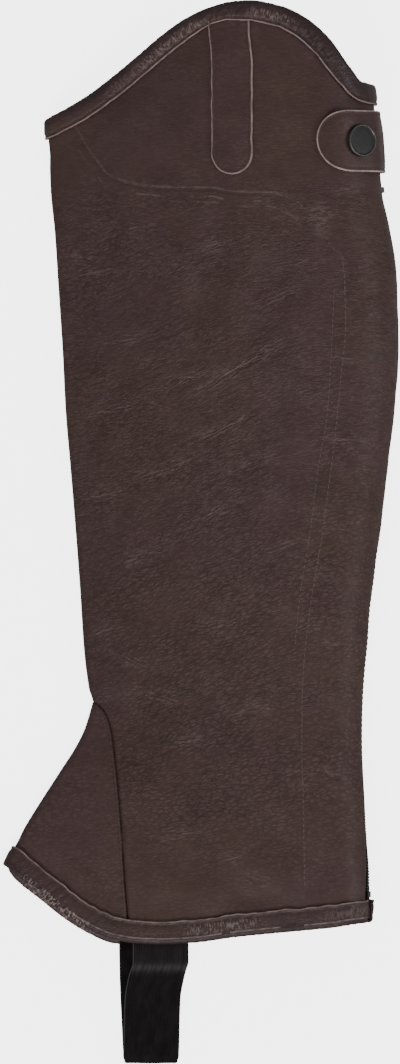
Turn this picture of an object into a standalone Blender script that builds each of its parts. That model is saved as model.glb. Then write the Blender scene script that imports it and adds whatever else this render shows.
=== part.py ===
"""One leather half chap, closed and lying on its inner side.

The shin fold is on the left (-X), the zip at the back on the right (+X), the
top line at +Y and the hem, with its elastic stirrup, at -Y.  Z is up and the
inner side rests on z = 0.  Tables and sizes are in millimetres, and the meshes
are made in metres.

Every leather piece is a patch of one form.  The form is a row of closed
sections, each measured round its outside from the outermost point of the shin
fold: over the outer side, round the back, and along the inner side to the
fold again.  A place on the leather is (girth, along, lift), where girth is the
way round, along is the Y coordinate and lift is the height above the leather.
"""

from collections import namedtuple
from functools import lru_cache
from math import atan, ceil, cos, hypot, pi, radians, sin, sqrt

import bmesh
import bpy
import numpy as np
from mathutils import Matrix, Vector

MM = 0.001

# Leather, seams and layers
LEATHER = 1.6
BINDING_LEATHER = 1.1
TAB_LEATHER = 1.8
TONGUE_LEATHER = 1.6
ELASTIC = 1.6
SEAM_GAP = 0.3
LAYER_GAP = 0.45
BINDING_GAP = 0.55

# The folds of the leg
SHIN_RADIUS = 4.6
DOME_POWER = 1.7

# Bindings: how deep they reach, and how far the roll stands past the panel
BINDING_DEPTH = 9.0
HEM_DEPTH = 10.0
ROLL_CENTRE = 0.3
ROLL_RADIUS = LEATHER / 2 + BINDING_GAP
ROLL_REACH = ROLL_RADIUS - ROLL_CENTRE + BINDING_LEATHER
ROLL_STEPS = 4

# The panel is drawn in beside its bindings, so that the inner side lies flat
DRAW_INNER = BINDING_LEATHER + BINDING_GAP
DRAW_OUTER = 0.6
DRAW_FULL = 15.0
DRAW_END = 27.0

# Where the instep piece starts below the shin
ANKLE = -90.0
INSTEP_TOP = -92.5

# Zip
ZIP_OPENING = 10.0
TAPE_WIDTH = 24.0
TAPE = 0.8
TAPE_GAP = 0.6
CHAIN_WIDTH = 5.6
CHAIN = 2.0
CHAIN_BOTTOM = -194.0
SLIDER_AT = 181.0
SLIDER_LENGTH = 9.0
SLIDER_WIDTH = 7.6
SLIDER_HEIGHT = 3.3
SLIDER_GAP = 0.55
EAR_GAP = 4.6
EAR_THICK = 1.2
EAR_LENGTH = 3.2
EAR_SUNK = 0.6
EAR_OVER_BAR = 1.5
BAR_RADIUS = 0.7
PULL_BORE = BAR_RADIUS + 0.3
PULL_BARREL = PULL_BORE + 0.75
BAR_LIFT = PULL_BARREL + SEAM_GAP
PULL_WIDTH = 3.8
PULL_GRIP_WIDTH = 6.4
PULL_LENGTH = 17.0
PULL_THICK = 1.3
PULL_WINDOW_WIDTH = 2.8
PULL_WINDOW_END = 1.6
STOP_LENGTH = 3.0
STOP_SIDE = 0.6
STOP_PROUD = 0.5
TAPE_HEM_AT = 90.4
TAPE_TOP_AT = 93.5
TAPE_END_GAP = 1.0

# Tongue strap below the top line
TONGUE_CENTRE = 16.9
TONGUE_WIDTH = 21.4
TONGUE_END = 189.2
TONGUE_TOP_GAP = 0.8

# Snap tab
TAB_CENTRE = 206.7
TAB_WIDTH = 32.6
TAB_TIP = 62.0
TAB_ROOT_TURN = -60.0
SNAP_AT = 82.6
CAP_RADIUS = 8.7
CAP_HEIGHT = 2.2
CAP_RIM = 1.0
STUD_RADIUS = 6.0
STUD_HEIGHT = 2.2

# Stirrup
STIRRUP_WIDTH = 29.8
STIRRUP_INSIDE = 9.0
STIRRUP_TILT_REACH = 8.0
STIRRUP_STEPS = 22

# The leg's sections: front and back edges, depth over the back, zip direction
Section = namedtuple("Section", "along front back depth zip_turn")
SECTIONS = (
    Section(282.0, -84.0, 91.0, 52.0, -32.0),
    Section(237.0, -82.5, 92.6, 53.0, -32.0),
    Section(218.4, -81.9, 94.0, 54.0, -32.0),
    Section(197.2, -79.9, 95.4, 54.0, -32.0),
    Section(181.3, -79.2, 96.7, 54.0, -32.0),
    Section(160.1, -77.1, 101.0, 54.0, -31.0),
    Section(128.3, -75.0, 105.1, 53.0, -30.0),
    Section(96.5, -72.9, 105.7, 52.0, -29.0),
    Section(64.7, -71.3, 103.6, 49.0, -28.0),
    Section(32.9, -68.6, 99.8, 46.0, -27.0),
    Section(1.1, -66.0, 96.1, 43.0, -26.0),
    Section(-30.7, -63.6, 91.9, 40.0, -25.0),
    Section(-62.5, -61.5, 88.7, 37.0, -23.0),
    Section(-83.7, -58.8, 87.0, 35.5, -21.0),
    Section(-90.1, -56.9, 86.6, 35.0, -20.0),
    Section(-94.3, -57.9, 86.4, 34.5, -19.5),
    Section(-104.9, -61.2, 86.3, 34.0, -18.5),
    Section(-115.5, -66.5, 86.4, 33.5, -17.5),
    Section(-126.1, -73.4, 86.9, 33.0, -16.0),
    Section(-157.9, -93.5, 88.6, 31.5, -4.0),
    Section(-177.0, -104.1, 90.0, 31.0, 6.0),
    Section(-194.0, -113.5, 91.1, 30.5, 15.0),
    Section(-218.0, -126.8, 91.5, 30.0, 18.0),
)

# The finished top line, as the outer and the inner side show it
TopPoint = namedtuple("TopPoint", "across outer inner")
TOP_LINE = (
    TopPoint(-86.0, 217.6, 217.6),
    TopPoint(-81.9, 220.1, 220.1),
    TopPoint(-71.8, 225.2, 224.0),
    TopPoint(-59.1, 232.7, 230.7),
    TopPoint(-46.4, 242.1, 239.6),
    TopPoint(-33.7, 252.4, 249.6),
    TopPoint(-20.9, 263.1, 260.2),
    TopPoint(-8.2, 271.9, 269.0),
    TopPoint(4.5, 277.7, 275.0),
    TopPoint(17.2, 280.9, 278.0),
    TopPoint(26.0, 281.4, 278.6),
    TopPoint(42.7, 278.3, 275.6),
    TopPoint(55.4, 272.4, 269.5),
    TopPoint(68.1, 261.8, 259.0),
    TopPoint(80.8, 245.4, 243.5),
    TopPoint(87.2, 238.5, 237.8),
    TopPoint(93.5, 237.4, 237.4),
    TopPoint(106.0, 237.4, 237.4),
)

# The finished hem, which the inner side shows below the outer one at the instep
HemPoint = namedtuple("HemPoint", "across outer inner")
HEM_LINE = (
    HemPoint(-108.0, -175.6, -175.6),
    HemPoint(-103.6, -178.1, -178.5),
    HemPoint(-97.3, -183.1, -185.7),
    HemPoint(-84.5, -193.3, -196.0),
    HemPoint(-71.8, -203.3, -206.0),
    HemPoint(-59.1, -211.2, -213.8),
    HemPoint(-46.4, -216.4, -219.0),
    HemPoint(-33.7, -218.5, -220.3),
    HemPoint(-20.9, -219.0, -219.3),
    HemPoint(-1.9, -218.0, -217.1),
    HemPoint(17.2, -215.3, -214.3),
    HemPoint(42.7, -212.7, -211.6),
    HemPoint(68.1, -210.3, -209.2),
    HemPoint(90.4, -207.7, -207.7),
    HemPoint(106.0, -207.7, -207.7),
)

# The ankle seam, from the shin fold down to the hem
SeamPoint = namedtuple("SeamPoint", "along across")
ANKLE_SEAM = (
    SeamPoint(-90.0, -56.5),
    SeamPoint(-94.9, -50.6),
    SeamPoint(-104.4, -46.9),
    SeamPoint(-118.7, -44.8),
    SeamPoint(-146.3, -42.1),
    SeamPoint(-174.4, -40.0),
    SeamPoint(-205.1, -37.9),
    SeamPoint(-222.0, -37.0),
)

# How far the snap tab stands off the leather, from its tip to its root
TabPoint = namedtuple("TabPoint", "from_snap lift")
TAB_LIFT = (
    TabPoint(-24.2, LAYER_GAP),
    TabPoint(-17.0, 1.1),
    TabPoint(-9.0, 3.9),
    TabPoint(0.0, 2.9),
    TabPoint(9.0, 3.9),
    TabPoint(19.0, 1.7),
    TabPoint(32.0, 0.9),
    TabPoint(50.8, LAYER_GAP),
)

# The stirrup's outer face once it has left the hem, down, round and back
StirrupPoint = namedtuple("StirrupPoint", "along height centre tilt")
STIRRUP_FRONT = (
    StirrupPoint(-228.0, 18.3, -20.6, 4.0),
    StirrupPoint(-236.0, 15.2, -22.8, 3.0),
    StirrupPoint(-248.0, 11.0, -24.9, 1.5),
    StirrupPoint(-262.0, 7.8, -25.4, 0.5),
    StirrupPoint(-273.0, 6.4, -25.6, 0.0),
)
STIRRUP_BEND = 3.2
STIRRUP_BOTTOM = -281.4
STIRRUP_BACK = (
    StirrupPoint(-274.0, 0.0, -26.0, 0.0),
    StirrupPoint(-238.0, 0.0, -27.6, 0.0),
    StirrupPoint(-229.0, 2.0, -27.8, 0.0),
    StirrupPoint(-222.0, 5.3, -27.9, 0.0),
    StirrupPoint(-207.0, 5.3, -27.9, 0.0),
)

# Steps of the meshes
FOLD_STEPS = 4
OUTER_STEPS = 10
OUTER_ROUND_STEPS = 8
INNER_STEPS = 8
INNER_ROUND_STEPS = 4
EDGE_ROWS = (0.0, 7.0, 15.0, 21.0, 27.0)
LOWER_SHARES = (0.75, 0.5, 0.3, 0.15, 0.05, 0.0)
UPPER_ROWS = 15
INSTEP_COLUMNS = 10
INSTEP_CROWDING = 1.8
TAPE_COLUMNS = 4
ZIP_ROWS = 22


class Curve:
    """A smooth line through the rows of a table, which never overshoots them."""

    def __init__(self, rows, key, value):
        pairs = sorted((getattr(row, key), getattr(row, value)) for row in rows)
        self.x = np.array([pair[0] for pair in pairs])
        self.y = np.array([pair[1] for pair in pairs])
        rise = np.diff(self.y) / np.diff(self.x)
        self.slope = np.zeros_like(self.x)
        self.slope[0] = rise[0]
        self.slope[-1] = rise[-1]
        for i in range(1, len(self.x) - 1):
            if rise[i - 1] * rise[i] > 0:
                self.slope[i] = 2 / (1 / rise[i - 1] + 1 / rise[i])

    def __call__(self, x):
        if x <= self.x[0]:
            return float(self.y[0] + self.slope[0] * (x - self.x[0]))
        if x >= self.x[-1]:
            return float(self.y[-1] + self.slope[-1] * (x - self.x[-1]))
        i = int(np.searchsorted(self.x, x)) - 1
        width = self.x[i + 1] - self.x[i]
        t = (x - self.x[i]) / width
        start = (1 + 2 * t) * (1 - t) ** 2 * self.y[i] + t * (1 - t) ** 2 * width * self.slope[i]
        end = t * t * (3 - 2 * t) * self.y[i + 1] + t * t * (t - 1) * width * self.slope[i + 1]
        return float(start + end)

    def steepness(self, x, step=0.5):
        """The slope of the line at x."""
        return (self(x + step) - self(x - step)) / (2 * step)


FRONT = Curve(SECTIONS, "along", "front")
BACK = Curve(SECTIONS, "along", "back")
DEPTH = Curve(SECTIONS, "along", "depth")
ZIP_TURN = Curve(SECTIONS, "along", "zip_turn")
TOP_OUTER = Curve(TOP_LINE, "across", "outer")
TOP_INNER = Curve(TOP_LINE, "across", "inner")
HEM_OUTER = Curve(HEM_LINE, "across", "outer")
HEM_INNER = Curve(HEM_LINE, "across", "inner")
SEAM = Curve(ANKLE_SEAM, "along", "across")
TAB_STAND = Curve(TAB_LIFT, "from_snap", "lift")


def blend(value, start, end):
    """0 at start and 1 at end, with an even ease between."""
    t = min(max((value - start) / (end - start), 0.0), 1.0)
    return t * t * (3 - 2 * t)


class Ring:
    """One closed section of the form, measured round its outside."""

    def __init__(self, along):
        front = FRONT(along)
        radius = DEPTH(along) / 2
        centre = BACK(along) - radius
        rise = atan(DOME_POWER * (2 * radius - 2 * SHIN_RADIUS) / (centre - front))
        shin = (front + SHIN_RADIUS, SHIN_RADIUS)

        upper_fold = [pi - t * (pi / 2 - rise) for t in np.linspace(0, 1, 9)]
        points = [self.on_arc(shin, SHIN_RADIUS, turn) for turn in upper_fold]
        start = points[-1]
        for t in np.linspace(0, 1, 49)[1:]:
            lift = 1 - (1 - t) ** DOME_POWER
            x = start[0] + t * (centre - start[0])
            z = start[1] + lift * (2 * radius - start[1])
            points.append((x, z))
        back_at = len(points) - 1
        for turn in np.linspace(pi / 2, -pi / 2, 49)[1:]:
            points.append(self.on_arc((centre, radius), radius, turn))
        inner_at = len(points) - 1
        points.append((shin[0], 0.0))
        for turn in np.linspace(-pi / 2, -pi, 9)[1:]:
            points.append(self.on_arc(shin, SHIN_RADIUS, turn))

        self.x = np.array([point[0] for point in points])
        self.z = np.array([point[1] for point in points])
        self.girth = np.concatenate(([0.0], np.cumsum(np.hypot(np.diff(self.x), np.diff(self.z)))))
        self.length = float(self.girth[-1])
        self.radius = radius
        self.back_at = back_at
        self.inner_at = inner_at

    @staticmethod
    def on_arc(centre, radius, turn):
        """A point on a circle, turned up from +X."""
        return (centre[0] + radius * cos(turn), centre[1] + radius * sin(turn))

    def at(self, girth):
        """The point and the outward direction at a girth, as (x, z, nx, nz)."""
        girth = girth % self.length
        x = float(np.interp(girth, self.girth, self.x))
        z = float(np.interp(girth, self.girth, self.z))
        step = 0.4
        ahead = (girth + step) % self.length
        behind = (girth - step) % self.length
        dx = float(np.interp(ahead, self.girth, self.x) - np.interp(behind, self.girth, self.x))
        dz = float(np.interp(ahead, self.girth, self.z) - np.interp(behind, self.girth, self.z))
        size = hypot(dx, dz)
        return x, z, -dz / size, dx / size

    def outer_girth(self, x):
        """The girth of the outer side's point above x."""
        last = self.back_at + 1
        return float(np.interp(x, self.x[:last], self.girth[:last]))

    def inner_girth(self, x):
        """The girth of the inner side's point below x."""
        return float(np.interp(-x, -self.x[self.inner_at:], self.girth[self.inner_at:]))

    def back_girth(self, turn):
        """The girth on the round back at an angle in degrees, turned up from +X."""
        return float(self.girth[self.back_at] + self.radius * radians(90.0 - turn))

    def inner_share(self, girth):
        """1 along the inner side and 0 along the outer one, easing round the folds."""
        girth = girth % self.length
        back = blend(girth, self.back_girth(-20.0), self.girth[self.inner_at])
        fold = blend(girth, self.length - SHIN_RADIUS * pi / 2, self.length)
        return back * (1 - fold)


@lru_cache(maxsize=None)
def ring(along):
    """The section at a distance along the leg."""
    return Ring(along)


def line_height(curves, section, girth):
    """The finished top line or hem at the X of a girth, for its own side."""
    outer, inner = curves
    x = section.at(girth)[0]
    on_inner = section.girth[section.inner_at] <= girth % section.length
    round_back = section.girth[section.back_at] < girth % section.length
    if round_back and not on_inner:
        share = section.inner_share(girth)
        wide = max(x, section.x[section.back_at])
        return outer(wide) * (1 - share) + inner(wide) * share
    return inner(x) if on_inner else outer(x)


def panel_edge(curves, section, girth, sign):
    """Where the leather itself ends under the roll; sign is +1 at the top."""
    outer, inner = curves
    x = section.at(girth)[0]
    curve = inner if section.inner_share(girth) > 0.5 else outer
    slant = sqrt(1 + curve.steepness(x) ** 2)
    return line_height(curves, section, girth) - sign * ROLL_REACH * slant


TOP = (TOP_OUTER, TOP_INNER)
HEM = (HEM_OUTER, HEM_INNER)


def skin(girth, along, lift=0.0):
    """A point at a height above the leather, in millimetres."""
    section = ring(round(along, 4))
    x, z, nx, nz = section.at(girth)
    below_top = panel_edge(TOP, section, girth, 1) - along
    above_hem = along - panel_edge(HEM, section, girth, -1)
    nearest = min(below_top, above_hem)
    share = section.inner_share(girth)
    drawn = DRAW_OUTER * (1 - share) + DRAW_INNER * share
    height = lift - drawn * (1 - blend(nearest, DRAW_FULL, DRAW_END))
    return Vector((x + nx * height, along, z + nz * height))


def edge_along(curves, sign, girth_at):
    """The Y at which a column, given as girth_at(along), meets its edge."""
    along = 250.0 if sign > 0 else -200.0
    for _ in range(14):
        section = ring(round(along, 4))
        found = panel_edge(curves, section, girth_at(along), sign)
        along += 0.8 * (found - along)
    return along


# Sheets, lofts and turned pieces

def finish(name, bm, material):
    """Link a finished mesh as an object of its own."""
    mesh = bpy.data.meshes.new(name)
    bm.to_mesh(mesh)
    bm.free()
    mesh.shade_smooth()
    mesh.set_sharp_from_angle(angle=radians(40))
    mesh.materials.append(material)
    obj = bpy.data.objects.new(name, mesh)
    bpy.context.scene.collection.objects.link(obj)
    return obj


def sheet(name, columns, rows, place, finish_material):
    """A wall between two faces of place(column, row, face) in millimetres.

    Face 0 is the outside and face 1 the inside.
    """
    bm = bmesh.new()
    bmesh.ops.create_grid(bm, x_segments=columns, y_segments=rows, size=0.5)
    cells = {}
    for vert in bm.verts:
        cell = (round((vert.co.x + 0.5) * columns), round((vert.co.y + 0.5) * rows))
        cells[vert] = cell
    outside = list(bm.faces)
    inside = bmesh.ops.extrude_face_region(bm, geom=outside, use_keep_orig=True)["geom"]
    for vert in (item for item in inside if isinstance(item, bmesh.types.BMVert)):
        cell = (round((vert.co.x + 0.5) * columns), round((vert.co.y + 0.5) * rows))
        vert.co = Vector(place(*cell, 1)) * MM
    for vert, cell in cells.items():
        vert.co = Vector(place(*cell, 0)) * MM
    bmesh.ops.recalc_face_normals(bm, faces=bm.faces)
    if bm.calc_volume(signed=True) < 0:
        bmesh.ops.reverse_faces(bm, faces=bm.faces)
    return finish(name, bm, finish_material)


def turned(name, profile, steps, material, frame):
    """A round piece from (radius, height) rows, turned about its own Z."""
    bm = bmesh.new()
    verts = [bm.verts.new((radius * MM, 0.0, height * MM)) for radius, height in profile]
    edges = [bm.edges.new(pair) for pair in zip(verts, verts[1:])]
    bmesh.ops.spin(
        bm, geom=verts + edges, cent=(0, 0, 0), axis=(0, 0, 1),
        angle=2 * pi, steps=steps, use_merge=True,
    )
    bmesh.ops.remove_doubles(bm, verts=bm.verts, dist=1e-6)
    bmesh.ops.recalc_face_normals(bm, faces=bm.faces)
    obj = finish(name, bm, material)
    obj.matrix_world = frame
    return obj


def box(name, low, high, material, bevel=0.0, parent=None):
    """A block between two corners in millimetres, with its edges eased."""
    bm = bmesh.new()
    bmesh.ops.create_cube(bm, size=1.0)
    for vert in bm.verts:
        unit = vert.co + Vector((0.5, 0.5, 0.5))
        vert.co = Vector(low[i] + unit[i] * (high[i] - low[i]) for i in range(3)) * MM
    if bevel:
        bmesh.ops.bevel(
            bm, geom=list(bm.edges), offset=bevel * MM, segments=2,
            profile=0.5, affect="EDGES", material=-1,
        )
    obj = finish(name, bm, material)
    if parent is not None:
        obj.matrix_world = parent
    return obj


def rod(name, radius, length, material, frame, steps=20):
    """A round bar along its own X, centred on the frame."""
    bm = bmesh.new()
    bmesh.ops.create_cone(
        bm, cap_ends=True, segments=steps, radius1=radius * MM,
        radius2=radius * MM, depth=length * MM,
        matrix=Matrix.Rotation(pi / 2, 4, "Y"),
    )
    obj = finish(name, bm, material)
    obj.matrix_world = frame
    return obj


def guide(obj):
    """Mark an object as a cutter or a part of a union, not a piece."""
    obj.hide_render = True
    obj.display_type = "WIRE"
    return obj


def combine(target, operation, *others):
    """Join others to the target, or cut them from it."""
    for other in others:
        guide(other)
        step = target.modifiers.new(other.name, "BOOLEAN")
        step.operation = operation
        step.solver = "EXACT"
        step.object = other


def material(name, colour, roughness, metallic=0.0):
    """A plain finish in linear colour."""
    made = bpy.data.materials.new(name)
    made.use_nodes = True
    shader = made.node_tree.nodes["Principled BSDF"]
    shader.inputs["Base Color"].default_value = (*colour, 1.0)
    shader.inputs["Roughness"].default_value = roughness
    shader.inputs["Metallic"].default_value = metallic
    return made


# Leather panels

def shares(*stretches):
    """Fractions from 0 to 1; each stretch is (end fraction, steps)."""
    fractions = [0.0]
    for end, steps in stretches:
        fractions += list(np.linspace(fractions[-1], end, steps + 1)[1:])
    return fractions


OUTER_SHARES = shares((0.03, FOLD_STEPS), (0.74, OUTER_STEPS), (1.0, OUTER_ROUND_STEPS))
INNER_SHARES = shares((0.14, INNER_ROUND_STEPS), (0.965, INNER_STEPS), (1.0, FOLD_STEPS))


def zip_girth(along):
    """The girth of the zip's centre line."""
    return ring(round(along, 4)).back_girth(ZIP_TURN(along))


def outer_start(along):
    """Where the outer panel starts: the shin fold, or the seam under the ankle."""
    if along >= ANKLE:
        return SEAM_GAP / 2
    return ring(round(along, 4)).outer_girth(SEAM(along)) + SEAM_GAP / 2


def inner_end(along):
    """Where the inner panel ends, going round to the fold or the seam."""
    section = ring(round(along, 4))
    if along >= ANKLE:
        return section.length - SEAM_GAP / 2
    return section.inner_girth(SEAM(along)) - SEAM_GAP / 2


def outer_column(share):
    """A column of the outer panel, as girth by along."""
    def girth_at(along):
        start = outer_start(along)
        end = zip_girth(along) - ZIP_OPENING / 2
        return start + share * (end - start)
    return girth_at


def inner_column(share):
    """A column of the inner panel, as girth by along."""
    def girth_at(along):
        start = zip_girth(along) + ZIP_OPENING / 2
        return start + share * (inner_end(along) - start)
    return girth_at


def instep_outer_column(share):
    """A column of the instep's outer half, from its fold to the seam."""
    def girth_at(along):
        start = SEAM_GAP / 2
        end = max(outer_start(along) - SEAM_GAP, start + 1.5)
        return start + share * (end - start)
    return girth_at


def instep_inner_column(share):
    """A column of the instep's inner half, from the seam to its fold."""
    def girth_at(along):
        section = ring(round(along, 4))
        end = section.length - SEAM_GAP / 2
        start = min(inner_end(along) + SEAM_GAP, end - 1.5)
        return start + share * (end - start)
    return girth_at


def instep_rows(hem):
    """The Y of each row from the hem to just under the ankle."""
    low = [hem + step for step in EDGE_ROWS]
    return low + [INSTEP_TOP + share * (low[-1] - INSTEP_TOP) for share in LOWER_SHARES]


def leg_rows(hem, top):
    """The Y of each row of a leg panel's column, with one row at the ankle."""
    high = [top - step for step in reversed(EDGE_ROWS)]
    return instep_rows(hem) + list(np.linspace(ANKLE, high[0], UPPER_ROWS + 1)[:-1]) + high


def panel(name, columns, rows_of, finish_material):
    """A leather panel from its columns, each a function of along."""
    grid = []
    for girth_at in columns:
        hem = edge_along(HEM, -1, girth_at)
        grid.append([(girth_at(along), along) for along in rows_of(girth_at, hem)])

    def place(column, row, face):
        return skin(*grid[column][row], -LEATHER * face)

    return sheet(name, len(columns) - 1, len(grid[0]) - 1, place, finish_material)


def full_rows(girth_at, hem):
    """Rows from hem to top line."""
    return leg_rows(hem, edge_along(TOP, 1, girth_at))


def make_leather(leather):
    """The four leather patches of the leg and the instep."""
    outer = [outer_column(share) for share in OUTER_SHARES]
    inner = [inner_column(share) for share in INNER_SHARES]
    panel("leg_outer", outer, full_rows, leather)
    panel("leg_inner", inner, full_rows, leather)
    steps = np.linspace(0, 1, INSTEP_COLUMNS + 1)
    fold_steps = [step ** INSTEP_CROWDING for step in steps]
    instep_outer = [instep_outer_column(share) for share in fold_steps]
    instep_inner = [instep_inner_column(1 - share) for share in reversed(fold_steps)]
    panel("instep_outer", instep_outer, lambda _, hem: instep_rows(hem), leather)
    panel("instep_inner", instep_inner, lambda _, hem: instep_rows(hem), leather)


# Bindings

def binding_profile(depth, grown):
    """The folded strip as (into the panel, lift) rows, on its inside or grown out."""
    radius = ROLL_RADIUS + grown
    rows = [(depth, radius), (depth / 2, radius)]
    for turn in np.linspace(pi / 2, -pi / 2, ROLL_STEPS + 1):
        rows.append((ROLL_CENTRE - radius * cos(turn), radius * sin(turn)))
    rows += [(depth / 2, -radius), (depth, -radius)]
    return [(into, lift - LEATHER / 2) for into, lift in rows]


def spread_out(girth, along, on_outer):
    """A girth as a distance across the flat leather, on the scale of X."""
    length = ring(round(along, 4)).length
    return FRONT(along) + (girth if on_outer else length - girth)


def rolled_up(across, along, on_outer):
    """The girth again from a distance across the flat leather."""
    girth = max(across - FRONT(along), SEAM_GAP / 2)
    return girth if on_outer else ring(round(along, 4)).length - girth


def binding(name, edge, depth, sign, on_outer, finish_material):
    """A strip folded over an edge given as (girth, along) points.

    The sign is +1 at the top line and -1 at the hem.
    """
    profiles = [binding_profile(depth, BINDING_LEATHER), binding_profile(depth, 0.0)]
    last = len(edge) - 1
    fold_column = 0 if on_outer else last
    flat = [Vector((spread_out(girth, along, on_outer), along)) for girth, along in edge]
    into = []
    for i in range(len(edge)):
        run = (flat[min(i + 1, last)] - flat[max(i - 1, 0)]).normalized()
        square = Vector((run.y, -run.x))
        into.append(square if square.y * sign < 0 else -square)

    def place(column, row, face):
        depth_in, lift = profiles[face][row]
        at = flat[column] + into[column] * depth_in
        if column == fold_column:
            at.x = FRONT(at.y)
        return skin(rolled_up(at.x, at.y, on_outer), at.y, lift)

    return sheet(name, last, len(profiles[0]) - 1, place, finish_material)


def edge_points(curves, sign, columns):
    """The (girth, along) points at which columns meet their edge."""
    points = []
    for girth_at in columns:
        along = edge_along(curves, sign, girth_at)
        points.append((girth_at(along), along))
    return points


def make_bindings(leather):
    """Top and hem bindings, each in an outer and an inner half."""
    outer = [outer_column(share) for share in OUTER_SHARES]
    inner = [inner_column(share) for share in INNER_SHARES]
    binding("top_binding_outer", edge_points(TOP, 1, outer), BINDING_DEPTH, 1, True, leather)
    binding("top_binding_inner", edge_points(TOP, 1, inner), BINDING_DEPTH, 1, False, leather)
    steps = [step ** INSTEP_CROWDING for step in np.linspace(0, 1, INSTEP_COLUMNS + 1)]
    instep_outer = [instep_outer_column(share) for share in steps[:-1]]
    instep_inner = [instep_inner_column(1 - share) for share in reversed(steps[:-1])]
    hem_outer = edge_points(HEM, -1, instep_outer + outer[FOLD_STEPS // 2:])
    hem_inner = edge_points(HEM, -1, inner[:-FOLD_STEPS // 2] + instep_inner)
    binding("hem_binding_outer", hem_outer, HEM_DEPTH, -1, True, leather)
    binding("hem_binding_inner", hem_inner, HEM_DEPTH, -1, False, leather)


# Pieces laid on the leather

def make_tongue(leather):
    """The strap that hangs from the top binding."""
    half = TONGUE_WIDTH / 2
    round_rows = [radians(turn) for turn in (82, 66, 48, 30, 14, 0)]
    columns = 6

    def place(column, row, face):
        side = 2 * column / columns - 1
        if row < len(round_rows):
            reach = half * cos(round_rows[row])
            along = TONGUE_END + half - half * sin(round_rows[row])
            x = TONGUE_CENTRE + side * reach
        else:
            x = TONGUE_CENTRE + side * half
            slant = sqrt(1 + TOP_OUTER.steepness(x) ** 2)
            top = TOP_OUTER(x) - (ROLL_REACH + BINDING_DEPTH) * slant - TONGUE_TOP_GAP
            share = (row - len(round_rows) + 1) / 6
            along = (TONGUE_END + half) * (1 - share) + top * share
        lift = SEAM_GAP + TONGUE_LEATHER * (1 - face)
        return skin(ring(round(along, 4)).outer_girth(x), along, lift)

    sheet("tongue_strap", columns, len(round_rows) + 5, place, leather)


def tab_point(from_snap, along, extra=0.0):
    """A point under the snap tab, at a girth measured from the snap."""
    snap_girth = ring(round(TAB_CENTRE, 4)).outer_girth(SNAP_AT) + snap_round()
    section = ring(round(along, 4))
    shift = section.girth[section.back_at] - ring(TAB_CENTRE).girth[ring(TAB_CENTRE).back_at]
    return skin(snap_girth + shift + from_snap, along, TAB_STAND(from_snap) + extra)


@lru_cache(maxsize=None)
def snap_round():
    """How far round the back the snap's centre lies, past the dome's end."""
    section = ring(TAB_CENTRE)
    centre = section.x[section.back_at]
    if SNAP_AT <= centre:
        return 0.0
    turn = np.arccos((SNAP_AT - centre) / section.radius)
    return float(section.radius * (pi / 2 - turn))


def make_tab(leather):
    """The snap tab, from its round tip on the outer side to its inner root."""
    half = TAB_WIDTH / 2
    section = ring(TAB_CENTRE)
    snap_girth = section.outer_girth(SNAP_AT) + snap_round()
    tip = section.outer_girth(TAB_TIP) - snap_girth
    root = section.back_girth(TAB_ROOT_TURN) - snap_girth
    round_columns = [radians(turn) for turn in (84, 72, 56, 38, 19, 0)]
    straight = 12
    columns = len(round_columns) - 1 + straight
    rows = 8

    def place(column, row, face):
        side = 2 * row / rows - 1
        if column < len(round_columns):
            reach = half * cos(round_columns[column])
            from_snap = tip + half - half * sin(round_columns[column])
        else:
            share = (column - len(round_columns) + 1) / straight
            reach = half
            from_snap = (tip + half) * (1 - share) + root * share
        return tab_point(from_snap, TAB_CENTRE + side * reach, TAB_LEATHER * (1 - face))

    sheet("snap_tab", columns, rows, place, leather)


def frame_at(origin, outward, upward):
    """A frame with Z outward and Y along the leg, from points in millimetres."""
    z = outward.normalized()
    y = (upward - z * upward.dot(z)).normalized()
    x = y.cross(z)
    frame = Matrix((x, y, z)).transposed().to_4x4()
    frame.translation = origin * MM
    return frame


def snap_frame(extra):
    """The frame of the snap, a height above the leather at its centre."""
    here = tab_point(0.0, TAB_CENTRE)
    across = tab_point(4.0, TAB_CENTRE) - tab_point(-4.0, TAB_CENTRE)
    upward = tab_point(0.0, TAB_CENTRE + 6.0) - tab_point(0.0, TAB_CENTRE - 6.0)
    outward = across.cross(upward).normalized()
    ground = here - outward * TAB_STAND(0.0)
    return frame_at(ground + outward * extra, outward, upward)


def make_snap(metal):
    """The snap's cap over the tab and its stud between tab and panel."""
    cap_base = TAB_STAND(0.0) + TAB_LEATHER + LAYER_GAP
    cap = (
        (0.0, 0.0), (CAP_RADIUS - 0.5, 0.0), (CAP_RADIUS, 0.5), (CAP_RADIUS, CAP_HEIGHT - 0.4),
        (CAP_RADIUS - 0.4, CAP_HEIGHT), (CAP_RADIUS - CAP_RIM, CAP_HEIGHT),
        (CAP_RADIUS - CAP_RIM - 0.4, CAP_HEIGHT - 0.4), (0.0, CAP_HEIGHT - 0.4),
    )
    turned("snap_cap", cap, 36, metal, snap_frame(cap_base))
    stud = (
        (0.0, 0.0), (STUD_RADIUS, 0.0), (STUD_RADIUS, 0.7),
        (STUD_RADIUS - 2.2, 1.1), (STUD_RADIUS - 2.2, STUD_HEIGHT), (0.0, STUD_HEIGHT),
    )
    turned("snap_stud", stud, 28, metal, snap_frame(LAYER_GAP - 0.1))


# Zip

def zip_band(name, low, high, width, lifts, rows, finish_material):
    """A band along the zip between two Ys; lifts are its outer and inner faces."""
    columns = TAPE_COLUMNS

    def place(column, row, face):
        along = low + (high - low) * row / rows
        girth = zip_girth(along) + (column / columns - 0.5) * width
        return skin(girth, along, lifts[face])

    return sheet(name, columns, rows, place, finish_material)


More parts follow.
